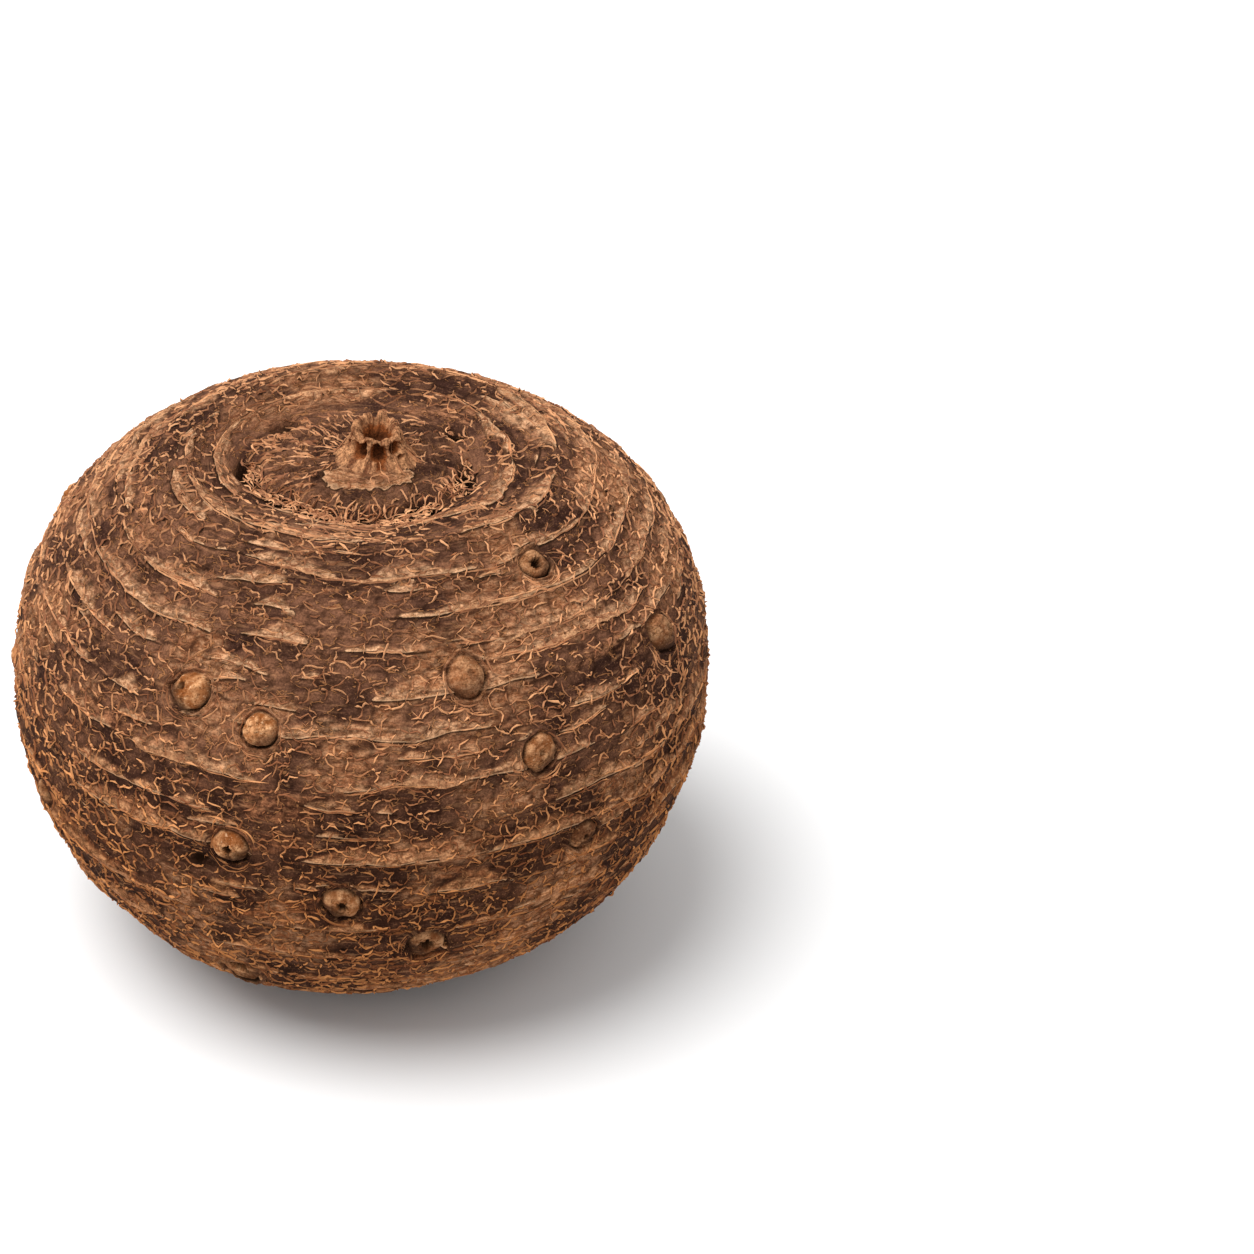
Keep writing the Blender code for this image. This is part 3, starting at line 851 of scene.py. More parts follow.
def stub_pits(angle, wall, torn):
    """1 in the middle of each pit of the stub's wall, whose edges are torn."""
    pit = np.zeros(len(angle))
    power = 2.8
    for turn, half, top, bottom in STUB_PITS:
        away = wrapped(angle - math.radians(turn - 90.0)) / math.radians(half)
        along = (wall - (top + bottom) / 2.0) / ((bottom - top) / 2.0)
        reach = (np.abs(away) ** power + np.abs(along) ** power) ** (1.0 / power) + 0.14 * torn
        pit = np.maximum(pit, 1.0 - ease(0.72, 1.0, reach))
    return pit


def model_stub(skin_tree):
    """The dried stub of the leaf stem: a hollow torn cone, with deep pits between its ribs."""
    stub, column, row = add_sheet("stem_stub", STUB_SEGMENTS, STUB_ROWS)
    angle = math.tau * column / STUB_SEGMENTS
    share = row / STUB_ROWS
    bowl = share < STUB_RIM_SHARE
    wall = np.clip((share - STUB_RIM_SHARE) / (STUB_WALL_END - STUB_RIM_SHARE), 0.0, 1.0)
    foot = np.clip((share - STUB_WALL_END) / (1.0 - STUB_WALL_END), 0.0, 1.0)
    turned = points_of(np.cos(angle), np.sin(angle), 0.0)
    ragged = field(turned * 4.0 * MM, 1.7 * MM, 11, 2)
    torn = field(points_of(4 * MM * turned[:, 0], 4 * MM * turned[:, 1], 9 * MM * wall), 2.2 * MM, 17, 2)
    pit = stub_pits(angle, wall, torn) * (share > 0.9 * STUB_RIM_SHARE)

    bowl_radii = (0.0, 3.0 * MM, 4.7 * MM, STUB_RIM_RADIUS)
    wide = np.interp(share, (0.0, 0.12, 0.19, STUB_RIM_SHARE), bowl_radii)
    wide = np.where(bowl, wide, STUB_RIM_RADIUS + (2.6 * wall + 0.8 * wall**3 + 2.8 * foot) * MM)
    wide = (wide - pit * (1.9 + 2.0 * wall) * MM) * (1.0 + 0.10 * ragged)
    bowl_heights = (2.6 * MM, 3.2 * MM, 6.6 * MM, 7.9 * MM, STUB_RIM_HEIGHT)
    tall = np.interp(share, (0.0, 0.10, 0.17, 0.21, STUB_RIM_SHARE), bowl_heights)
    tall = np.where(bowl, tall, STUB_RIM_HEIGHT - (7.1 * wall**0.85 + 1.2 * foot**0.6) * MM)
    uneven = 1.9 * ragged + 1.1 * np.sin(angle) + 0.5 * np.sin(STUB_TEARS * angle + 0.6)
    tall += np.clip(tall / STUB_RIM_HEIGHT, 0.0, 1.0) ** 2 * uneven * MM
    streaks = points_of(6 * MM * turned[:, 0], 6 * MM * turned[:, 1], tall * 0.22)
    wide += 0.40 * MM * field(streaks, 1.1 * MM, 16, 2) * ease(0.1, 0.3, share)

    middle = on_form(np.array([STUB_OFFSET]), np.array([math.pi / 2.0]), 0.0)[0]
    places = middle + points_of(wide * np.cos(angle), wide * np.sin(angle), tall)
    places[:, :2] += turned[:, :2] * (0.70 * MM * field(places, 2.0 * MM, 13, 3))[:, None]
    places[:, 2] += 0.6 * MM * field(places, 1.8 * MM, 12, 3)
    outer = share > STUB_WALL_END - 0.1
    ground = np.array([lying_height(skin_tree, spot, UPWARD) for spot in places[outer]])
    lie = ease(STUB_WALL_END - 0.1, 0.97, share[outer])
    level = ground + tall[outer] * (1.0 - lie)
    places[outer, 2] += lie * (level - 0.6 * MM * ease(0.85, 1.0, share[outer]))
    places[row == 0] = places[row == 0].mean(axis=0)
    set_points(stub, places)
    keep_numbers(stub, "pit", np.maximum(pit, 1.0 - ease(0.10, 0.2, share)))
    keep_numbers(stub, "foot", foot)
    keep_places(stub, "grain", streaks)
    close_sheet(stub)
    return stub


def scatter(count, draw, low, high):
    """Places spread evenly by area between two walks."""
    spots = np.linspace(low, high, 400)
    share = np.cumsum(meridian.at(spots)[0])
    share = (share - share[0]) / (share[-1] - share[0])
    return np.interp(draw.random(count), share, spots), draw.uniform(-math.pi, math.pi, count)


def strand_tracks(shares, walk, azimuth, heading, curl, bend, length):
    """Walks and azimuths of free strands that set off from a place and curl."""
    walks, turns = np.empty((len(shares), len(walk))), np.empty((len(shares), len(walk)))
    at_walk, at_turn = walk.copy(), azimuth.copy()
    for step, share in enumerate(shares):
        walks[step], turns[step] = at_walk, at_turn
        if step + 1 < len(shares):
            middle = (share + shares[step + 1]) / 2.0
            run = length * (shares[step + 1] - share)
            way = heading + curl * length * (middle - 0.5) + bend * np.sin(math.tau * middle)
            at_walk = at_walk + np.cos(way) * run
            at_turn = at_turn + np.sin(way) * run / np.maximum(meridian.at(at_walk)[0], 4 * MM)
    return walks, turns


def lay_strands(name, ground, shares, width, tall, arch, tone, start=0.0, end=0.0):
    """Narrow ridged strands on the skin: closed, three-sided, with pointed or blunt ends.

    Strands that would reach under the floor are left out.
    """
    lying, normals = ground
    steps, count = lying.shape[:2]
    share = np.array(shares)[:, None]
    body = np.clip(np.sin(math.pi * share), 0.0, 1.0) ** 0.6
    taper = np.maximum(body, np.maximum(start * (1.0 - share) ** 2, end * share**2))
    taper = taper * (1.0 + 0.25 * np.sin(9.0 * share + 40.0 * tone))
    lift = arch * np.sin(math.pi * share) ** 2 * (0.5 + share)
    lying = lying + normals * lift[:, :, None]
    runs = np.gradient(lying, axis=0)
    sides = np.cross(runs, normals)
    sides /= np.maximum(np.linalg.norm(sides, axis=2), 1e-9)[:, :, None]
    half = (taper * width * 0.5)[:, :, None]
    crest = lying + normals * (taper * tall)[:, :, None]
    sunk = lying - normals * (0.1 * MM + taper * 0.12 * MM)[:, :, None]
    corners = np.stack([sunk - sides * half, crest, sunk + sides * half], axis=2)
    clear = corners[:, :, :, 2].min(axis=(0, 2)) > 0.0
    corners, lying, tone, count = corners[:, clear], lying[:, clear], tone[clear], int(clear.sum())

    rings = steps - 2
    inner = corners[1:-1].transpose(1, 0, 2, 3).reshape(count, -1, 3)
    points = np.concatenate([inner, np.stack([lying[0], lying[-1]], axis=1)], axis=1)
    faces, cells = strand_faces(rings)
    strands = add_mesh(name, points, faces, cells)
    each = rings * 3 + 2
    keep_numbers(strands, "tone", np.repeat(tone, each))
    ridge = np.concatenate([np.tile([0.0, 1.0, 0.0], rings), [0.5, 0.5]])
    keep_numbers(strands, "ridge", np.tile(ridge, count))
    return strands


def strand_faces(rings):
    """Corner numbers and map corners of one strand's faces: its sides, then its two tips."""
    faces, cells = [], []
    for ring in range(rings - 1):
        for side in range(3):
            after = (side + 1) % 3
            low, high = (ring + 1) / (rings + 1), (ring + 2) / (rings + 1)
            left, right = side / 3.0, (side + 1) / 3.0
            faces.append((ring * 3 + side, ring * 3 + 3 + side, ring * 3 + 3 + after, ring * 3 + after))
            cells.append(((low, left), (high, left), (high, right), (low, right)))
    tip, last = rings * 3, (rings - 1) * 3
    for side in range(3):
        after = (side + 1) % 3
        left, right, reach = side / 3.0, (side + 1) / 3.0, 1.0 / (rings + 1)
        faces.append((tip, side, after))
        cells.append(((0.0, (left + right) / 2.0), (reach, left), (reach, right)))
        faces.append((tip + 1, last + after, last + side))
        cells.append(((1.0, (left + right) / 2.0), (1.0 - reach, right), (1.0 - reach, left)))
    return faces, cells


def add_mesh(name, points, faces, cells):
    """One mesh of many copies of a small closed shape; points is copies by corners by 3."""
    count, each, _ = points.shape
    corners = np.concatenate([np.array(face) for face in faces])
    loops = (np.arange(count)[:, None] * each + corners[None, :]).ravel()
    totals = np.tile([len(face) for face in faces], count)
    mesh = bpy.data.meshes.new(name)
    mesh.vertices.add(count * each)
    mesh.vertices.foreach_set("co", points.ravel())
    mesh.loops.add(len(loops))
    mesh.loops.foreach_set("vertex_index", loops.astype(np.int32))
    mesh.polygons.add(len(totals))
    mesh.polygons.foreach_set("loop_start", np.concatenate([[0], np.cumsum(totals)[:-1]]).astype(np.int32))
    mesh.update(calc_edges=True)
    across = math.ceil(math.sqrt(count))
    place = np.stack([np.arange(count) % across, np.arange(count) // across], axis=-1)[:, None, :]
    spread = np.concatenate([np.array(cell) for cell in cells])[None, :, :]
    uv = (place + 0.08 + 0.84 * spread) / across
    mesh.uv_layers.new(name="OFBake").data.foreach_set("uv", uv.astype(np.float32).ravel())
    piece = bpy.data.objects.new(name, mesh)
    bpy.context.scene.collection.objects.link(piece)
    bpy.ops.object.select_all(action="DESELECT")
    piece.select_set(True)
    bpy.context.view_layer.objects.active = piece
    bpy.ops.object.shade_smooth_by_angle(angle=math.radians(40.0))
    return piece


def clear_of_buds(walk, azimuth, least):
    """True where a place on the skin is outside every bud's knob."""
    return bud_distance(on_skin(walk, azimuth, 0.0)) > least


def net_strands(skin_tree):
    """The curled edges of the cracked plates, in an upper and a lower piece."""
    draw = np.random.default_rng(32)
    ends, end_turns, meets = plates.edges(draw)
    count = ends.shape[1]
    flip = draw.random(count) < 0.5
    ends, end_turns, meets = (np.where(flip, pair[::-1], pair) for pair in (ends, end_turns, meets))
    reach = np.where(draw.random(count) < 0.66, 1.0, draw.uniform(0.4, 0.9, count))
    meets[1] &= reach == 1.0
    shares = np.array(EDGE_SHARES)[:, None] * reach
    walks = ends[0] + (ends[1] - ends[0]) * shares
    turns = end_turns[0] + (end_turns[1] - end_turns[0]) * shares
    radius = meridian.at(walks)[0]
    runs = np.stack([ends[1] - ends[0], (end_turns[1] - end_turns[0]) * radius[3]])
    wiggle = draw.normal(0.0, 0.18, count) * np.sin(math.pi * shares)
    wiggle = wiggle + draw.normal(0.0, 0.09, count) * np.sin(math.tau * shares)
    walks = walks - runs[1] * wiggle
    turns = turns + runs[0] * wiggle / radius
    clear = clear_of_buds(walks.ravel(), turns.ravel(), 1.12).reshape(walks.shape).all(axis=0)
    pieces = []
    halfway = meridian.length * 0.52
    for name, half in (("crack_edges_upper", ends[0] < halfway), ("crack_edges_lower", ends[0] >= halfway)):
        pick = clear & half
        number = int(pick.sum())
        pieces.append(lay_strands(
            name, nearest_ground(skin_tree, walks[:, pick], turns[:, pick]), EDGE_SHARES,
            width=draw.uniform(0.55, 0.95, number) * MM,
            tall=draw.uniform(0.36, 0.58, number) * MM,
            arch=draw.gamma(1.5, 0.22, number) * (draw.random(number) < 0.12) * MM,
            tone=draw.random(number) ** 1.5,
            start=np.where(meets[0, pick], 0.75, 0.0),
            end=np.where(meets[1, pick], 0.75, 0.0),
        ))
    return pieces


def loose_curls(skin_tree):
    """Short curled flecks of skin between the plates' edges, some standing off the skin."""
    draw = np.random.default_rng(33)
    walk, azimuth = scatter(5200, draw, MOAT_RADIUS + 4 * MM, meridian.length - 3 * MM)
    keep = clear_of_buds(walk, azimuth, 1.25)
    walk, azimuth = walk[keep], azimuth[keep]
    count = len(walk)
    length = np.clip(draw.gamma(4.0, 0.62, count), 1.0, 6.0) * MM
    curl = np.clip(draw.normal(0.0, 0.6, count) / MM, -3.2 / length, 3.2 / length)
    heading = math.pi / 2.0 + draw.normal(0.0, 0.85, count) + math.pi * (draw.random(count) < 0.5)
    bend = draw.normal(0.0, 0.4, count)
    walks, turns = strand_tracks(SHORT_SHARES, walk, azimuth, heading, curl, bend, length)
    return lay_strands(
        "loose_curls", nearest_ground(skin_tree, walks, turns), SHORT_SHARES,
        width=draw.uniform(0.50, 0.85, count) * MM,
        tall=draw.uniform(0.30, 0.48, count) * MM,
        arch=draw.gamma(1.5, 0.25, count) * (draw.random(count) < 0.09) * MM,
        tone=0.15 + 0.85 * draw.random(count) ** 1.3,
    )


def band_edge_tracks(draw, shares, each, length_range, least):
    """Paths along the lower edges of the bands: their walks, azimuths and band widths.

    A line as long as the girth gets each of them, and least is the least width of their band.
    """
    tracks = []
    for number, line in enumerate(BAND_LINES):
        radius = float(meridian.at(line[0])[0])
        count = int(each * radius / GIRTH_RADIUS)
        length = np.exp(draw.uniform(*np.log(length_range), count)) * MM
        azimuth = draw.uniform(-math.pi, math.pi, count) + (shares[:, None] - 0.5) * length / radius
        width = band_width(number, azimuth)
        walk = band_course(number, azimuth)
        keep = (width > least).mean(axis=0) > 0.7
        keep &= clear_of_buds(walk.ravel(), azimuth.ravel(), 1.3).reshape(walk.shape).all(axis=0)
        tracks.append((walk[:, keep], azimuth[:, keep], width[:, keep]))
    return [np.concatenate(parts, axis=1) for parts in zip(*tracks)]


def long_strands(skin_tree):
    """Long torn edges: of the papery bands, and round the buds with a few leading away."""
    draw = np.random.default_rng(37)
    shares = np.array(LONG_SHARES)
    walks, turns, _ = band_edge_tracks(draw, shares, 90, (5.0, 22.0), 0.2 * MM)
    count = walks.shape[1]
    wiggle = 0.35 * MM * field(chart(walks.ravel(), turns.ravel(), 1.0), 3 * MM, 53, 2).reshape(walks.shape)
    walks, turns = [walks + wiggle + draw.normal(0.1, 0.3, count) * MM], [turns]
    for bud_azimuth, height, width, _ in BUDS:
        middle = meridian.walk_to_height(height)
        radius = float(meridian.at(middle)[0])
        for number in range(EDGES_PER_BUD):
            circling = number < CIRCLING_EDGES
            first = draw.uniform(0.0, math.tau)
            span = draw.uniform(1.0, 3.4) * draw.choice((-1.0, 1.0))
            near = draw.uniform(*((1.07, 1.15) if number < CLOSE_EDGES else (1.15, 1.45))) * width / 2.0
            swing = first + (span if circling else 0.25 * span) * shares
            reach = near * (1.0 + 0.06 * np.sin(5.0 * shares + first))
            if not circling:
                reach = near + draw.uniform(3.0, 7.0) * MM * shares
            walks.append((middle - reach * np.sin(swing))[:, None])
            turns.append((bud_azimuth + reach * np.cos(swing) / radius)[:, None])
    walks, turns = np.concatenate(walks, axis=1), np.concatenate(turns, axis=1)
    count = walks.shape[1]
    return lay_strands(
        "long_edges", nearest_ground(skin_tree, walks, turns), LONG_SHARES,
        width=draw.uniform(0.5, 0.9, count) * MM,
        tall=draw.uniform(0.25, 0.42, count) * MM,
        arch=draw.gamma(1.5, 0.2, count) * (draw.random(count) < 0.08) * MM,
        tone=draw.random(count),
    )


def crown_strands(skin, stub):
    """Dry strands of the crown: a thatch down from the stub, and a tangle over the moat."""
    draw = np.random.default_rng(34)
    tangle, thatch, ribs = 320, 250, 70
    count = tangle + thatch + ribs
    walk = np.concatenate([
        MOAT_RADIUS + draw.normal(-0.6, 2.2, tangle) * MM,
        np.sqrt(draw.uniform(10.0**2, 28.0**2, thatch)) * MM,
        draw.uniform(5.0, 12.0, ribs) * MM,
    ])
    over_moat = draw.normal(-0.1, 1.25, tangle)
    left = draw.random(thatch) < 0.6
    down = np.where(left, draw.normal(-1.9, 0.95, thatch), draw.uniform(-math.pi, math.pi, thatch))
    azimuth = np.concatenate([over_moat, down, draw.uniform(-math.pi, math.pi, ribs)])
    kind = np.repeat([0, 1, 2], (tangle, thatch, ribs))
    spread = np.array([0.6, 0.22, 0.25])[kind]
    heading = np.array([math.pi / 2.0, 0.0, 0.0])[kind] + draw.normal(0.0, 1.0, count) * spread
    curl = draw.normal(0.0, 1.0, count) * np.array([0.42, 0.10, 0.10])[kind] / MM
    length = np.concatenate([
        draw.uniform(2.5, 8.0, tangle), draw.gamma(5.0, 0.85, thatch), draw.uniform(3.0, 12.0, ribs)
    ]) * MM
    curl = np.clip(curl, -4.5 / length, 4.5 / length)
    bend = draw.normal(0.0, 0.4, count)
    walks, turns = strand_tracks(CROWN_SHARES, walk, azimuth, heading, curl, bend, length)
    keep = (front_sheet(walk, azimuth) < -1 * MM) | (draw.random(count) < 0.2)
    arch = np.concatenate([
        draw.gamma(1.2, 0.22, tangle), np.maximum(0.0, draw.normal(-0.1, 0.2, thatch + ribs)),
    ])
    return lay_strands(
        "crown_strands", dropped_ground(tree_of(skin, stub), walks[:, keep], turns[:, keep]), CROWN_SHARES,
        width=(draw.uniform(0.50, 0.90, count) * np.array([1.0, 1.1, 1.0])[kind])[keep] * MM,
        tall=(draw.uniform(0.28, 0.48, count) * np.array([1.0, 1.2, 1.0])[kind])[keep] * MM,
        arch=arch[keep] * MM,
        tone=(draw.random(count) * np.array([1.0, 0.75, 1.0])[kind])[keep],
    )


def papery_bands(skin_tree):
    """Strips of the papery bands that stand off the skin, each with a lifted lower edge."""
    draw = np.random.default_rng(BAND_SEED)
    share = np.linspace(0.0, 1.0, BAND_COLUMNS)
    walk, azimuth, width = band_edge_tracks(draw, share, 20, (16.0, 60.0), 1.2 * MM)
    share = share[:, None]
    body = np.clip(np.minimum(share / 0.3, (1.0 - share) / 0.3), 0.0, 1.0) ** 0.8
    flat = chart(walk.ravel(), azimuth.ravel(), 1.0)

    def ragged(size, salt, octaves=2):
        return field(flat, size, salt, octaves).reshape(walk.shape)

    upper = -np.clip(width, 0.6 * MM, BAND_LIP) * body * (0.62 + 0.25 * ragged(5 * MM, 22))
    lower = (0.25 + 0.8 * ragged(3 * MM, 23, 3)) * body * MM
    lip = (0.20 + 0.40 * np.clip(ragged(6 * MM, 25), -0.4, 1.0)) * body * MM
    # Rows across a strip: offset down the corm, rise, share of the lip's lift, and how bleached, where low
    # values paint shade on the sunk edges
    rows = (
        (upper - 0.2 * MM, -0.35 * MM, 0.0, 0.2),
        (upper + 0.15 * MM, 0.02 * MM, 0.05, 0.7),
        ((upper + lower) / 2.0, 0.06 * MM, 0.3, 0.8),
        (lower - 0.1 * MM, 0.12 * MM, 1.0, 1.0),
        (lower, 0.02 * MM, 0.7, 0.6),
        (lower - 0.5 * MM * body, -0.40 * MM, 0.0, 0.0),
    )
    points = []
    for offset, rise, lift, _ in rows:
        lying, normals = nearest_ground(skin_tree, walk + offset, azimuth)
        points.append(lying + normals * (rise + lift * lip)[:, :, None])
    points = np.stack(points, axis=1).transpose(2, 0, 1, 3)
    for tip in (0, -1):
        points[:, tip] = points[:, tip].mean(axis=1)[:, None]
    sides = len(rows)
    faces, cells = [], []
    for step in range(BAND_COLUMNS - 1):
        for side in range(sides):
            after = (side + 1) % sides
            here, there = step * sides, (step + 1) * sides
            faces.append((here + side, here + after, there + after, there + side))
            low, high = step / (BAND_COLUMNS - 1), (step + 1) / (BAND_COLUMNS - 1)
            left, right = side / sides, (side + 1) / sides
            cells.append(((low, left), (low, right), (high, right), (high, left)))
    bands = add_mesh("papery_bands", points.reshape(len(points), -1, 3), faces, cells)
    keep_numbers(bands, "lip", np.tile([row[-1] for row in rows], BAND_COLUMNS * len(points)))
    keep_numbers(bands, "tone", np.repeat(draw.random(len(points)), BAND_COLUMNS * sides))
    close_sheet(bands)
    return bands


def join(pieces, name):
    """Makes one piece of several."""
    bpy.ops.object.select_all(action="DESELECT")
    for piece in pieces:
        piece.select_set(True)
    bpy.context.view_layer.objects.active = pieces[0]
    bpy.ops.object.join()
    return add_piece(name)


def srgb(code):
    """Linear colour from an sRGB hex code."""
    parts = [int(code[place : place + 2], 16) / 255.0 for place in (1, 3, 5)]
    linear = [part / 12.92 if part <= 0.04045 else ((part + 0.055) / 1.055) ** 2.4 for part in parts]
    return (*linear, 1.0)


# How each kind of node is used here: its type, its sockets in the order they are given, the
# output that is passed on, and its settings
NODE_KINDS = {
    "place": ("ShaderNodeTexCoord", (), "Object", {}),
    "mark": ("ShaderNodeAttribute", (), "Fac", {}),
    "noise": ("ShaderNodeTexNoise", ("Vector", "Scale", "Detail", "Roughness", "Distortion"), "Fac", {}),
    "cells": ("ShaderNodeTexVoronoi", ("Vector", "Scale"), "Distance", {"feature": "DISTANCE_TO_EDGE"}),
    "ramp": ("ShaderNodeMapRange", (0, 1, 2, 3, 4), "Result", {"interpolation_type": "SMOOTHSTEP"}),
    "math": ("ShaderNodeMath", (0, 1), "Value", {}),
    "times": ("ShaderNodeMath", (0, 1), "Value", {"operation": "MULTIPLY"}),
    "times_plus": ("ShaderNodeMath", (0, 1, 2), "Value", {"operation": "MULTIPLY_ADD"}),
    "vector": ("ShaderNodeVectorMath", (0, 1), "Vector", {}),
    "split": ("ShaderNodeSeparateXYZ", (0,), "Z", {}),
    "mix": ("ShaderNodeMix", (0, 6, 7), 2, {"data_type": "RGBA"}),
    "bump": ("ShaderNodeBump", ("Height", "Distance"), "Normal", {}),
}


def add_node(tree, kind, *values, output=None, **settings):
    """Adds a node: each value is set on its socket, or linked to it where it is an output."""
    type_name, sockets, passed_on, usual = NODE_KINDS[kind]
    node = tree.nodes.new(type_name)
    for key, value in {**usual, **settings}.items():
        setattr(node, key, value)
    for socket, value in zip(sockets, values):
        if isinstance(value, bpy.types.NodeSocket):
            tree.links.new(value, node.inputs[socket])
        else:
            node.inputs[socket].default_value = srgb(value) if isinstance(value, str) else value
    return node.outputs[output or passed_on]


def new_material(name):
    material = bpy.data.materials.new(name)
    material.use_nodes = True
    return material, partial(add_node, material.node_tree)


def finish_material(material, node, colour, roughness, height, specular):
    """Links what a material has worked out to its shader."""
    tree = material.node_tree
    shader = tree.nodes["Principled BSDF"]
    tree.links.new(colour, shader.inputs["Base Color"])
    tree.links.new(node("bump", height, 1.0), shader.inputs["Normal"])
    shader.inputs["Roughness"].default_value = roughness
    shader.inputs["Specular IOR Level"].default_value = specular
    return material


def overlaid(node, colour, layers):
    """Lays colours over a colour, each as strongly as the ramp of its value says."""
    for value, low, high, to_low, to_high, over in layers:
        colour = node("mix", node("ramp", value, low, high, to_low, to_high), colour, over)
    return colour


def skin_material():
    """Periderm: the dry corky skin of a corm, cracked into plates as it swelled and dried.

    Matt plates, dark red-brown and faintly purple, each a little different. Over them lie
    orange-brown bark and the paler papery bands, and some patches are rubbed.
    """
    material, node = new_material("dried_corm_periderm")
    place = node("place")
    grain = node("mark", attribute_name="grain", output="Vector")

    # Plates: smooth, dark and faintly purple, each a little different
    patches = node("noise", grain, 1 / (13 * MM), 5.0, 0.62, 0.6)
    tone = node("times_plus", node("mark", attribute_name="tone"), 0.14, patches)
    # Paler towards the top, in every colour below: painted light from above
    high = node("ramp", node("split", place), *PAINTED_LIGHT_HEIGHTS)
    dark = node("mix", high, "#2d1912", "#3d261e")
    colour = node("mix", node("ramp", tone, 0.42, 0.72), dark, node("mix", high, "#513223", "#7b533d"))

    # Papery bands have a crisp lower edge with a painted shadow at its foot, and blend out uphill
    ragged = node("noise", grain, 1 / (1.6 * MM), 4.0, 0.6, 0.3)
    edge = node("math", node("mark", attribute_name="band"), 0.25 * MM, operation="SUBTRACT")
    edge = node("times_plus", ragged, 0.5 * MM, edge)
    share = node("mark", attribute_name="share")
    band = node("ramp", edge, -0.10 * MM, 0.10 * MM)
    foot = node("times", node("ramp", edge, -0.9 * MM, -0.10 * MM), node("ramp", edge, 0.1 * MM, -0.1 * MM))
    foot = node("times", foot, node("ramp", share, 0.12, -0.02))
    lip = node("times", node("ramp", edge, 0.6 * MM, 0.2 * MM), band)
    lip = node("times", lip, node("ramp", share, 0.5, 0.2))

    # Bark: orange-brown and wrinkled at about 1.7 mm, on the bands and in patches between them
    wrinkle = node("noise", grain, 1 / (1.7 * MM), 4.0, 0.65, 0.5)
    orange = node("mix", high, "#a05f38", "#c1845e")
    rough = node("mix", node("ramp", wrinkle, 0.36, 0.64), "#3a1d12", orange)
    drawn = node("vector", grain, (0.3, 0.3, 1.0), operation="MULTIPLY")
    bark = node("noise", drawn, 1 / (7 * MM), 5.0, 0.6, 0.5)
    bands = node("times", band, node("ramp", share, 0.98, 0.5))
    bands = node("times", bands, node("ramp", bark, 0.34, 0.52, 0.3, 0.85))
    bark = node("math", node("ramp", bark, 0.54, 0.64, 0.0, 0.65), bands, operation="MAXIMUM")
    colour = node("mix", bark, colour, rough)

    # The last millimetres of a band are bare papery skin, pinkish tan
    mottle = node("noise", grain, 1 / (1.5 * MM), 5.0, 0.68, 0.5)
    last_part = node("ramp", edge, 3.8 * MM, 1.6 * MM)
    worn = node("times", last_part, node("ramp", mottle, 0.28, 0.50, 0.5, 0.95))
    worn = node("times", worn, node("ramp", share, 0.8, 0.45))
    dull = node("mix", high, "#7c4b2f", "#966546")
    light = node("mix", node("ramp", mottle, 0.36, 0.62), dull, node("mix", high, "#c68a5c", "#e0ac82"))
    papery = node("times", band, worn)
    colour = node("mix", papery, colour, light)

    # Fine cracks, 3 mm apart, whose dry edges stand up tan with painted shade beside them
    sway = node("noise", grain, 1 / (2.2 * MM), 2.0, 0.5, output="Color")
    sway = node("vector", sway, (0.5, 0.5, 0.5), operation="SUBTRACT")
    sway = node("vector", sway, (3.0 * MM,) * 3, operation="MULTIPLY")
    crack = node("cells", node("vector", grain, sway, operation="ADD"), 1 / (2.8 * MM))
    shown = node("ramp", node("noise", place, 1 / (3.0 * MM), 2.0, 0.5), 0.50, 0.56)
    beside = node("times", node("ramp", crack, 0.14, 0.05), shown)
    crack = node("times", node("ramp", crack, 0.055, 0.02), shown)

    # Rubbed patches, orange-brown
    rubbed = node("ramp", node("noise", grain, 1 / (3 * MM), 3.0, 0.6), 0.3, 0.6, 0.2, 0.8)
    rubbed = node("times", node("mark", attribute_name="rubbed"), rubbed)
    colour = node("mix", rubbed, colour, node("mix", node("ramp", mottle, 0.4, 0.65), "#a2643c", "#dfa478"))

    # Grain of the cork, drawn at 0.55 mm so that it shows, and longer streaks along the rings
    grit = node("noise", place, 1 / (0.55 * MM), 2.0, 0.7)
    streak = node("noise", drawn, 1 / (1.5 * MM), 3.0, 0.6, 0.3)
    colour = overlaid(node, colour, (
        (grit, 0.36, 0.60, 0.45, 0.0, "#1e0e06"),
        (grit, 0.58, 0.74, 0.0, 0.25, "#c08a60"),
        (streak, 0.36, 0.48, 0.35, 0.0, "#1e0e06"),
        (streak, 0.58, 0.68, 0.0, 0.25, "#b9845c"),
        # Painted shade beside the fine cracks' raised edges
        (beside, 0.0, 1.0, 0.0, 0.35, "#1e0e06"),
        # Painted shade along the plates' edges, where the curled strands lie
        (node("mark", attribute_name="border"), 0.1 * MM, 0.8 * MM, 0.55, 0.0, "#1e0e06"),
        (crack, 0.0, 1.0, 0.0, 0.45, "#b87d50"),
        # Painted shadow under the bands' lifted lower edges
        (foot, 0.0, 1.0, 0.0, 0.75, "#160903"),
        (lip, 0.0, 1.0, 0.0, 0.35, "#e2b48a"),
        # Painted shade with soil in the moat and its pockets
        (node("mark", attribute_name="moat"), 0.0, 1.0, 0.0, 0.92, "#140802"),
    ))
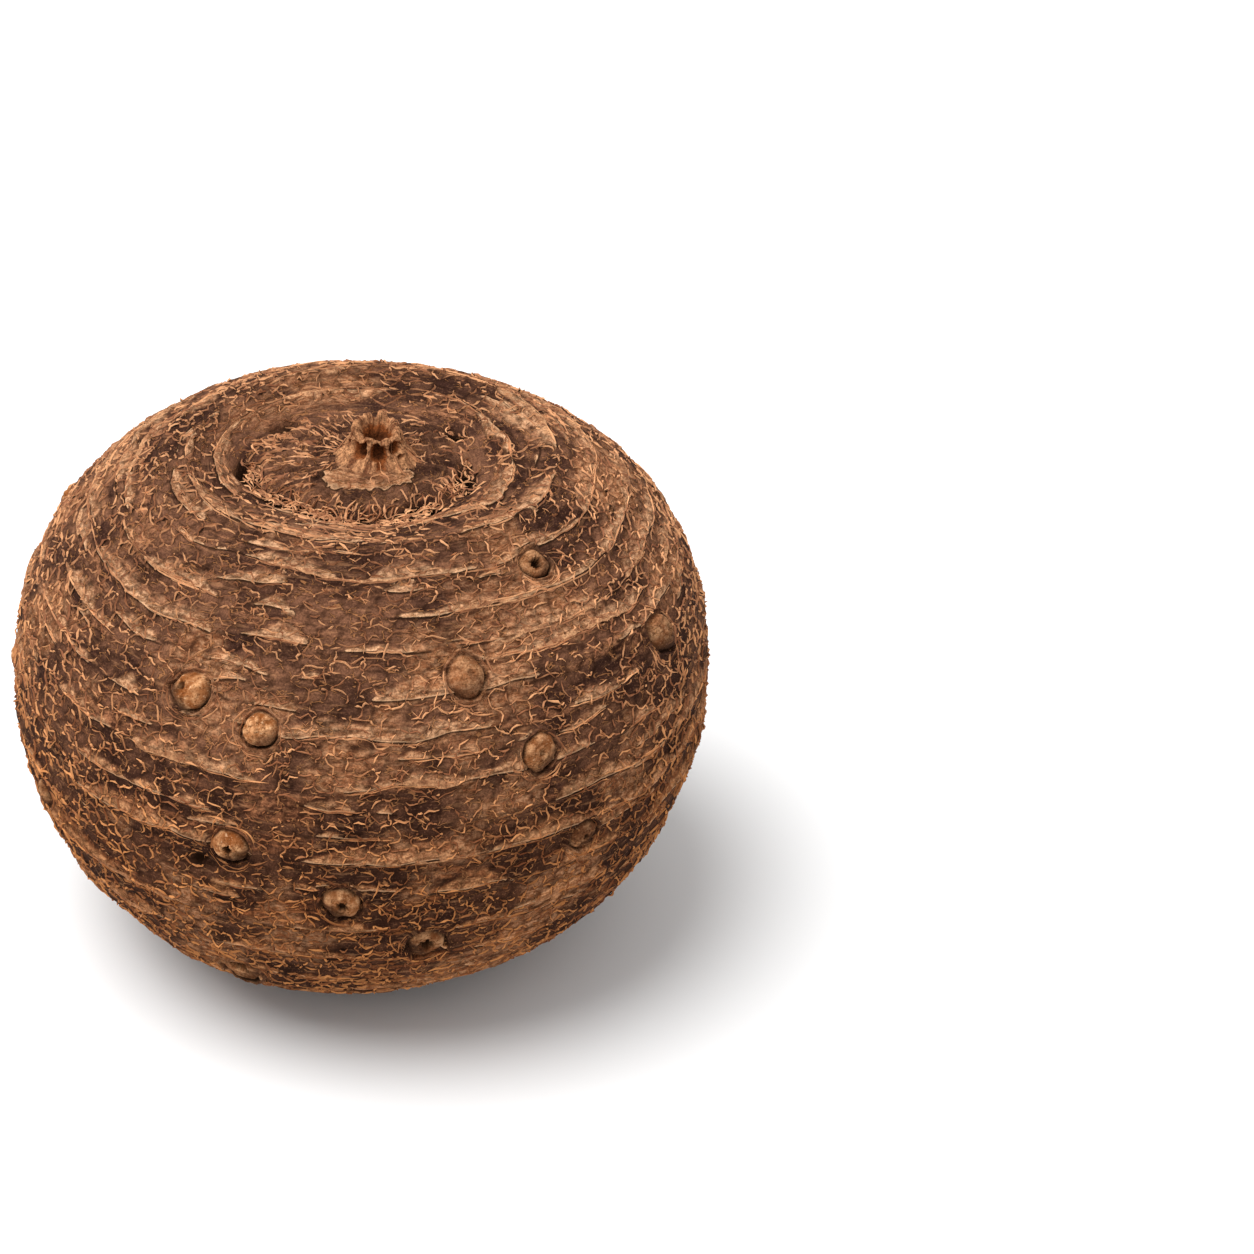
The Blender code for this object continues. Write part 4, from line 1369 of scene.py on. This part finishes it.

    # Buds are bare cork; the grooves and pits round them and their lower sides are painted dark as shade
    # with soil, and the skin's torn hollows as shade
    cork = node("noise", place, 1 / (4 * MM), 5.0, 0.6)
    knob = node("mix", node("ramp", cork, 0.36, 0.64), "#8f5730", "#dca474")
    # Painted shade in the bud's cracks, dents and ring, dark orange-brown
    dent = node("ramp", node("mark", attribute_name="dent"), 0.1, 0.8, 0.0, 0.8)
    knob = node("mix", dent, knob, "#84491f")
    speck = node("noise", place, 1 / (1.1 * MM), 3.0, 0.6, 0.4)
    knob = node("mix", node("ramp", grit, 0.34, 0.52, 0.4, 0.0), knob, "#6a3a1a")
    knob = node("mix", node("ramp", speck, 0.34, 0.42, 0.7, 0.0), knob, "#5c3418")
    knob = node("mix", node("ramp", grit, 0.60, 0.74, 0.0, 0.4), knob, "#f0c49a")
    knob = node("mix", node("ramp", speck, 0.62, 0.70, 0.0, 0.45), knob, "#f0c8a0")
    colour = node("mix", node("mark", attribute_name="knob"), colour, knob)
    # Painted shade in grooves, pits, hollows and on the buds' lower sides
    groove = node("math", node("mark", attribute_name="groove"), 0.95, operation="MINIMUM")
    colour = node("mix", groove, colour, "#140802")

    height = node("times", papery, 0.35 * MM)
    bark_relief = node("times", wrinkle, bark)
    for value, tall in ((patches, 0.6), (grit, 0.22), (bark_relief, 1.1), (streak, 0.35), (crack, 0.25)):
        height = node("times_plus", value, tall * MM, height)
    return finish_material(material, node, colour, 0.85, height, 0.03)


def strand_material():
    """Curled edges of dry skin: tan along the top, with painted shade at the foot."""
    material, node = new_material("curled_periderm_edge")
    place = node("place")
    speck = node("noise", place, 1 / (2.5 * MM), 3.0, 0.6)
    share = node("times", speck, 0.6)
    share = node("times_plus", node("mark", attribute_name="tone"), 0.55, share)
    # Paler towards the top: painted light from above
    high = node("ramp", node("split", place), *PAINTED_LIGHT_HEIGHTS)
    bright = node("mix", high, "#ca874f", "#e2a676")
    top = node("mix", node("ramp", share, 0.20, 0.95), node("mix", high, "#764427", "#87553a"), bright)
    edge = node("times_plus", speck, 0.30, node("mark", attribute_name="ridge"))
    # The foot of each strand is painted near black as its shadow
    colour = node("mix", node("ramp", edge, 0.28, 0.55), "#180a03", top)
    height = node("times", node("noise", place, 1 / (0.7 * MM), 2.0, 0.5), 0.15 * MM)
    return finish_material(material, node, colour, 0.62, height, 0.10)


def band_material():
    """Peeling papery skin: pinkish tan, mottled, with a bleached lip and painted shade on its sunk
    underside.
    """
    material, node = new_material("peeling_periderm")
    place = node("place")
    mottle = node("noise", place, 1 / (2.4 * MM), 5.0, 0.65)
    lip = node("mark", attribute_name="lip")
    grit = node("noise", place, 1 / (0.62 * MM), 2.0, 0.7)
    # Paler towards the top: painted light from above
    high = node("ramp", node("split", place), *PAINTED_LIGHT_HEIGHTS)
    light = node("mix", high, "#c0855a", "#d6a074")
    colour = node("mix", node("ramp", mottle, 0.34, 0.66), node("mix", high, "#784a30", "#8c5c40"), light)
    colour = overlaid(node, colour, (
        (node("mark", attribute_name="tone"), 0.0, 1.0, 0.45, 0.0, "#6a4228"),
        (lip, 0.86, 1.0, 0.0, 0.3, "#dca676"),
        # Painted shade on the strip's sunk edges and underside
        (lip, 0.10, 0.55, 1.0, 0.0, "#180a03"),
        (grit, 0.34, 0.60, 0.5, 0.0, "#3a2012"),
    ))
    height = node("times", grit, 0.2 * MM)
    height = node("times_plus", mottle, 0.5 * MM, height)
    return finish_material(material, node, colour, 0.72, height, 0.06)


def stub_material():
    """Dried leaf-stem tissue: fibrous tan ribs between orange-brown pits, with painted shade deep inside
    them.
    """
    material, node = new_material("dried_stem_tissue")
    place = node("place")
    grain = node("mark", attribute_name="grain", output="Vector")
    streaks = node("noise", grain, 1 / (1.3 * MM), 5.0, 0.65, 0.3)
    spots = node("ramp", node("noise", place, 1 / (5 * MM), 4.0, 0.6), 0.40, 0.56)
    pit = node("mark", attribute_name="pit")
    grit = node("noise", place, 1 / (0.62 * MM), 2.0, 0.7)
    colour = node("mix", node("ramp", streaks, 0.34, 0.64), "#74452c", "#d59a6c")
    colour = overlaid(node, colour, (
        (node("times", node("mark", attribute_name="foot"), spots), 0.0, 1.0, 0.0, 0.85, "#543524"),
        (pit, 0.10, 0.50, 0.0, 1.0, "#8a4c26"),
        # Painted shade deep in the pits and the hollow top
        (pit, 0.55, 1.0, 0.0, 0.75, "#35190a"),
        (grit, 0.34, 0.60, 0.6, 0.0, "#241006"),
    ))
    height = node("times", grit, 0.25 * MM)
    height = node("times_plus", streaks, 0.9 * MM, height)
    return finish_material(material, node, colour, 0.75, height, 0.06)


def studio():
    """Pale floor, pale world and one large soft key from above, a little left and in front."""
    bpy.ops.object.select_all(action="DESELECT")
    bpy.ops.mesh.primitive_plane_add(size=8.0, location=(0.0, 0.0, 0.0))
    floor = add_piece("floor")
    material, _ = new_material("studio_floor")
    shader = material.node_tree.nodes["Principled BSDF"]
    shader.inputs["Base Color"].default_value = srgb(FLOOR_COLOUR)
    shader.inputs["Roughness"].default_value = 0.9
    floor.data.materials.append(material)
    world = bpy.data.worlds.new("studio_world")
    bpy.context.scene.world = world
    world.use_nodes = True
    world.node_tree.nodes["Background"].inputs["Color"].default_value = (1.0, 1.0, 1.0, 1.0)
    world.node_tree.nodes["Background"].inputs["Strength"].default_value = WORLD_STRENGTH
    light = bpy.data.lights.new("key", "SUN")
    light.angle = KEY_ANGLE
    light.energy = KEY_ENERGY
    lamp = bpy.data.objects.new("key", light)
    bpy.context.scene.collection.objects.link(lamp)
    lamp.rotation_euler = Vector(KEY_WAY).to_track_quat("-Z", "Y").to_euler()
    bpy.context.scene.view_settings.view_transform = "Standard"
    bpy.context.scene.view_settings.look = "None"


def aim_camera():
    """A long lens 32 degrees above the floor, with the corm left of the middle."""
    centre = Vector((CENTRE_SHIFT[0], CENTRE_SHIFT[1], GIRTH_HEIGHT))
    toward = Vector((0.0, math.cos(VIEW_RISE), -math.sin(VIEW_RISE)))
    lens = bpy.data.cameras.new("view")
    lens.lens = VIEW_LENS
    lens.sensor_width = SENSOR_WIDTH
    camera = bpy.data.objects.new("view", lens)
    bpy.context.scene.collection.objects.link(camera)
    camera.location = centre - toward * VIEW_DISTANCE
    focal = VIEW_LENS / SENSOR_WIDTH * PHOTO_WIDTH
    yaw = math.atan((GIRTH_CENTRE_PIXEL[0] - PHOTO_WIDTH / 2.0) / focal)
    pitch = math.atan((PHOTO_WIDTH / 2.0 - GIRTH_CENTRE_PIXEL[1]) / focal)
    straight = toward.to_track_quat("-Z", "Y").to_matrix()
    turned = straight @ Matrix.Rotation(yaw, 3, "Y") @ Matrix.Rotation(-pitch, 3, "X")
    camera.rotation_euler = turned.to_euler()
    bpy.context.scene.camera = camera


def hand_over(piece, material, *nodes):
    """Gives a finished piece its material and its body."""
    piece.data.materials.clear()
    piece.data.materials.append(material)
    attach(piece, "root")
    if nodes:
        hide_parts(*nodes)


def main():
    aim_camera()
    studio()
    skin = model_skin()
    skin_tree = tree_of(skin)
    kinds = bud_kinds()
    buds = [model_bud(number, skin_tree, kinds[number], *place) for number, place in enumerate(BUDS)]
    periderm = skin_material()
    hand_over(skin, periderm, "corm")
    hand_over(join(buds, "buds"), periderm)
    stub = model_stub(skin_tree)
    hand_over(stub, stub_material())
    strand = strand_material()
    pieces = net_strands(skin_tree)
    pieces += [loose_curls(skin_tree), long_strands(skin_tree), crown_strands(skin, stub)]
    for strands in pieces:
        hand_over(strands, strand)
    hand_over(papery_bands(skin_tree), band_material())


main()
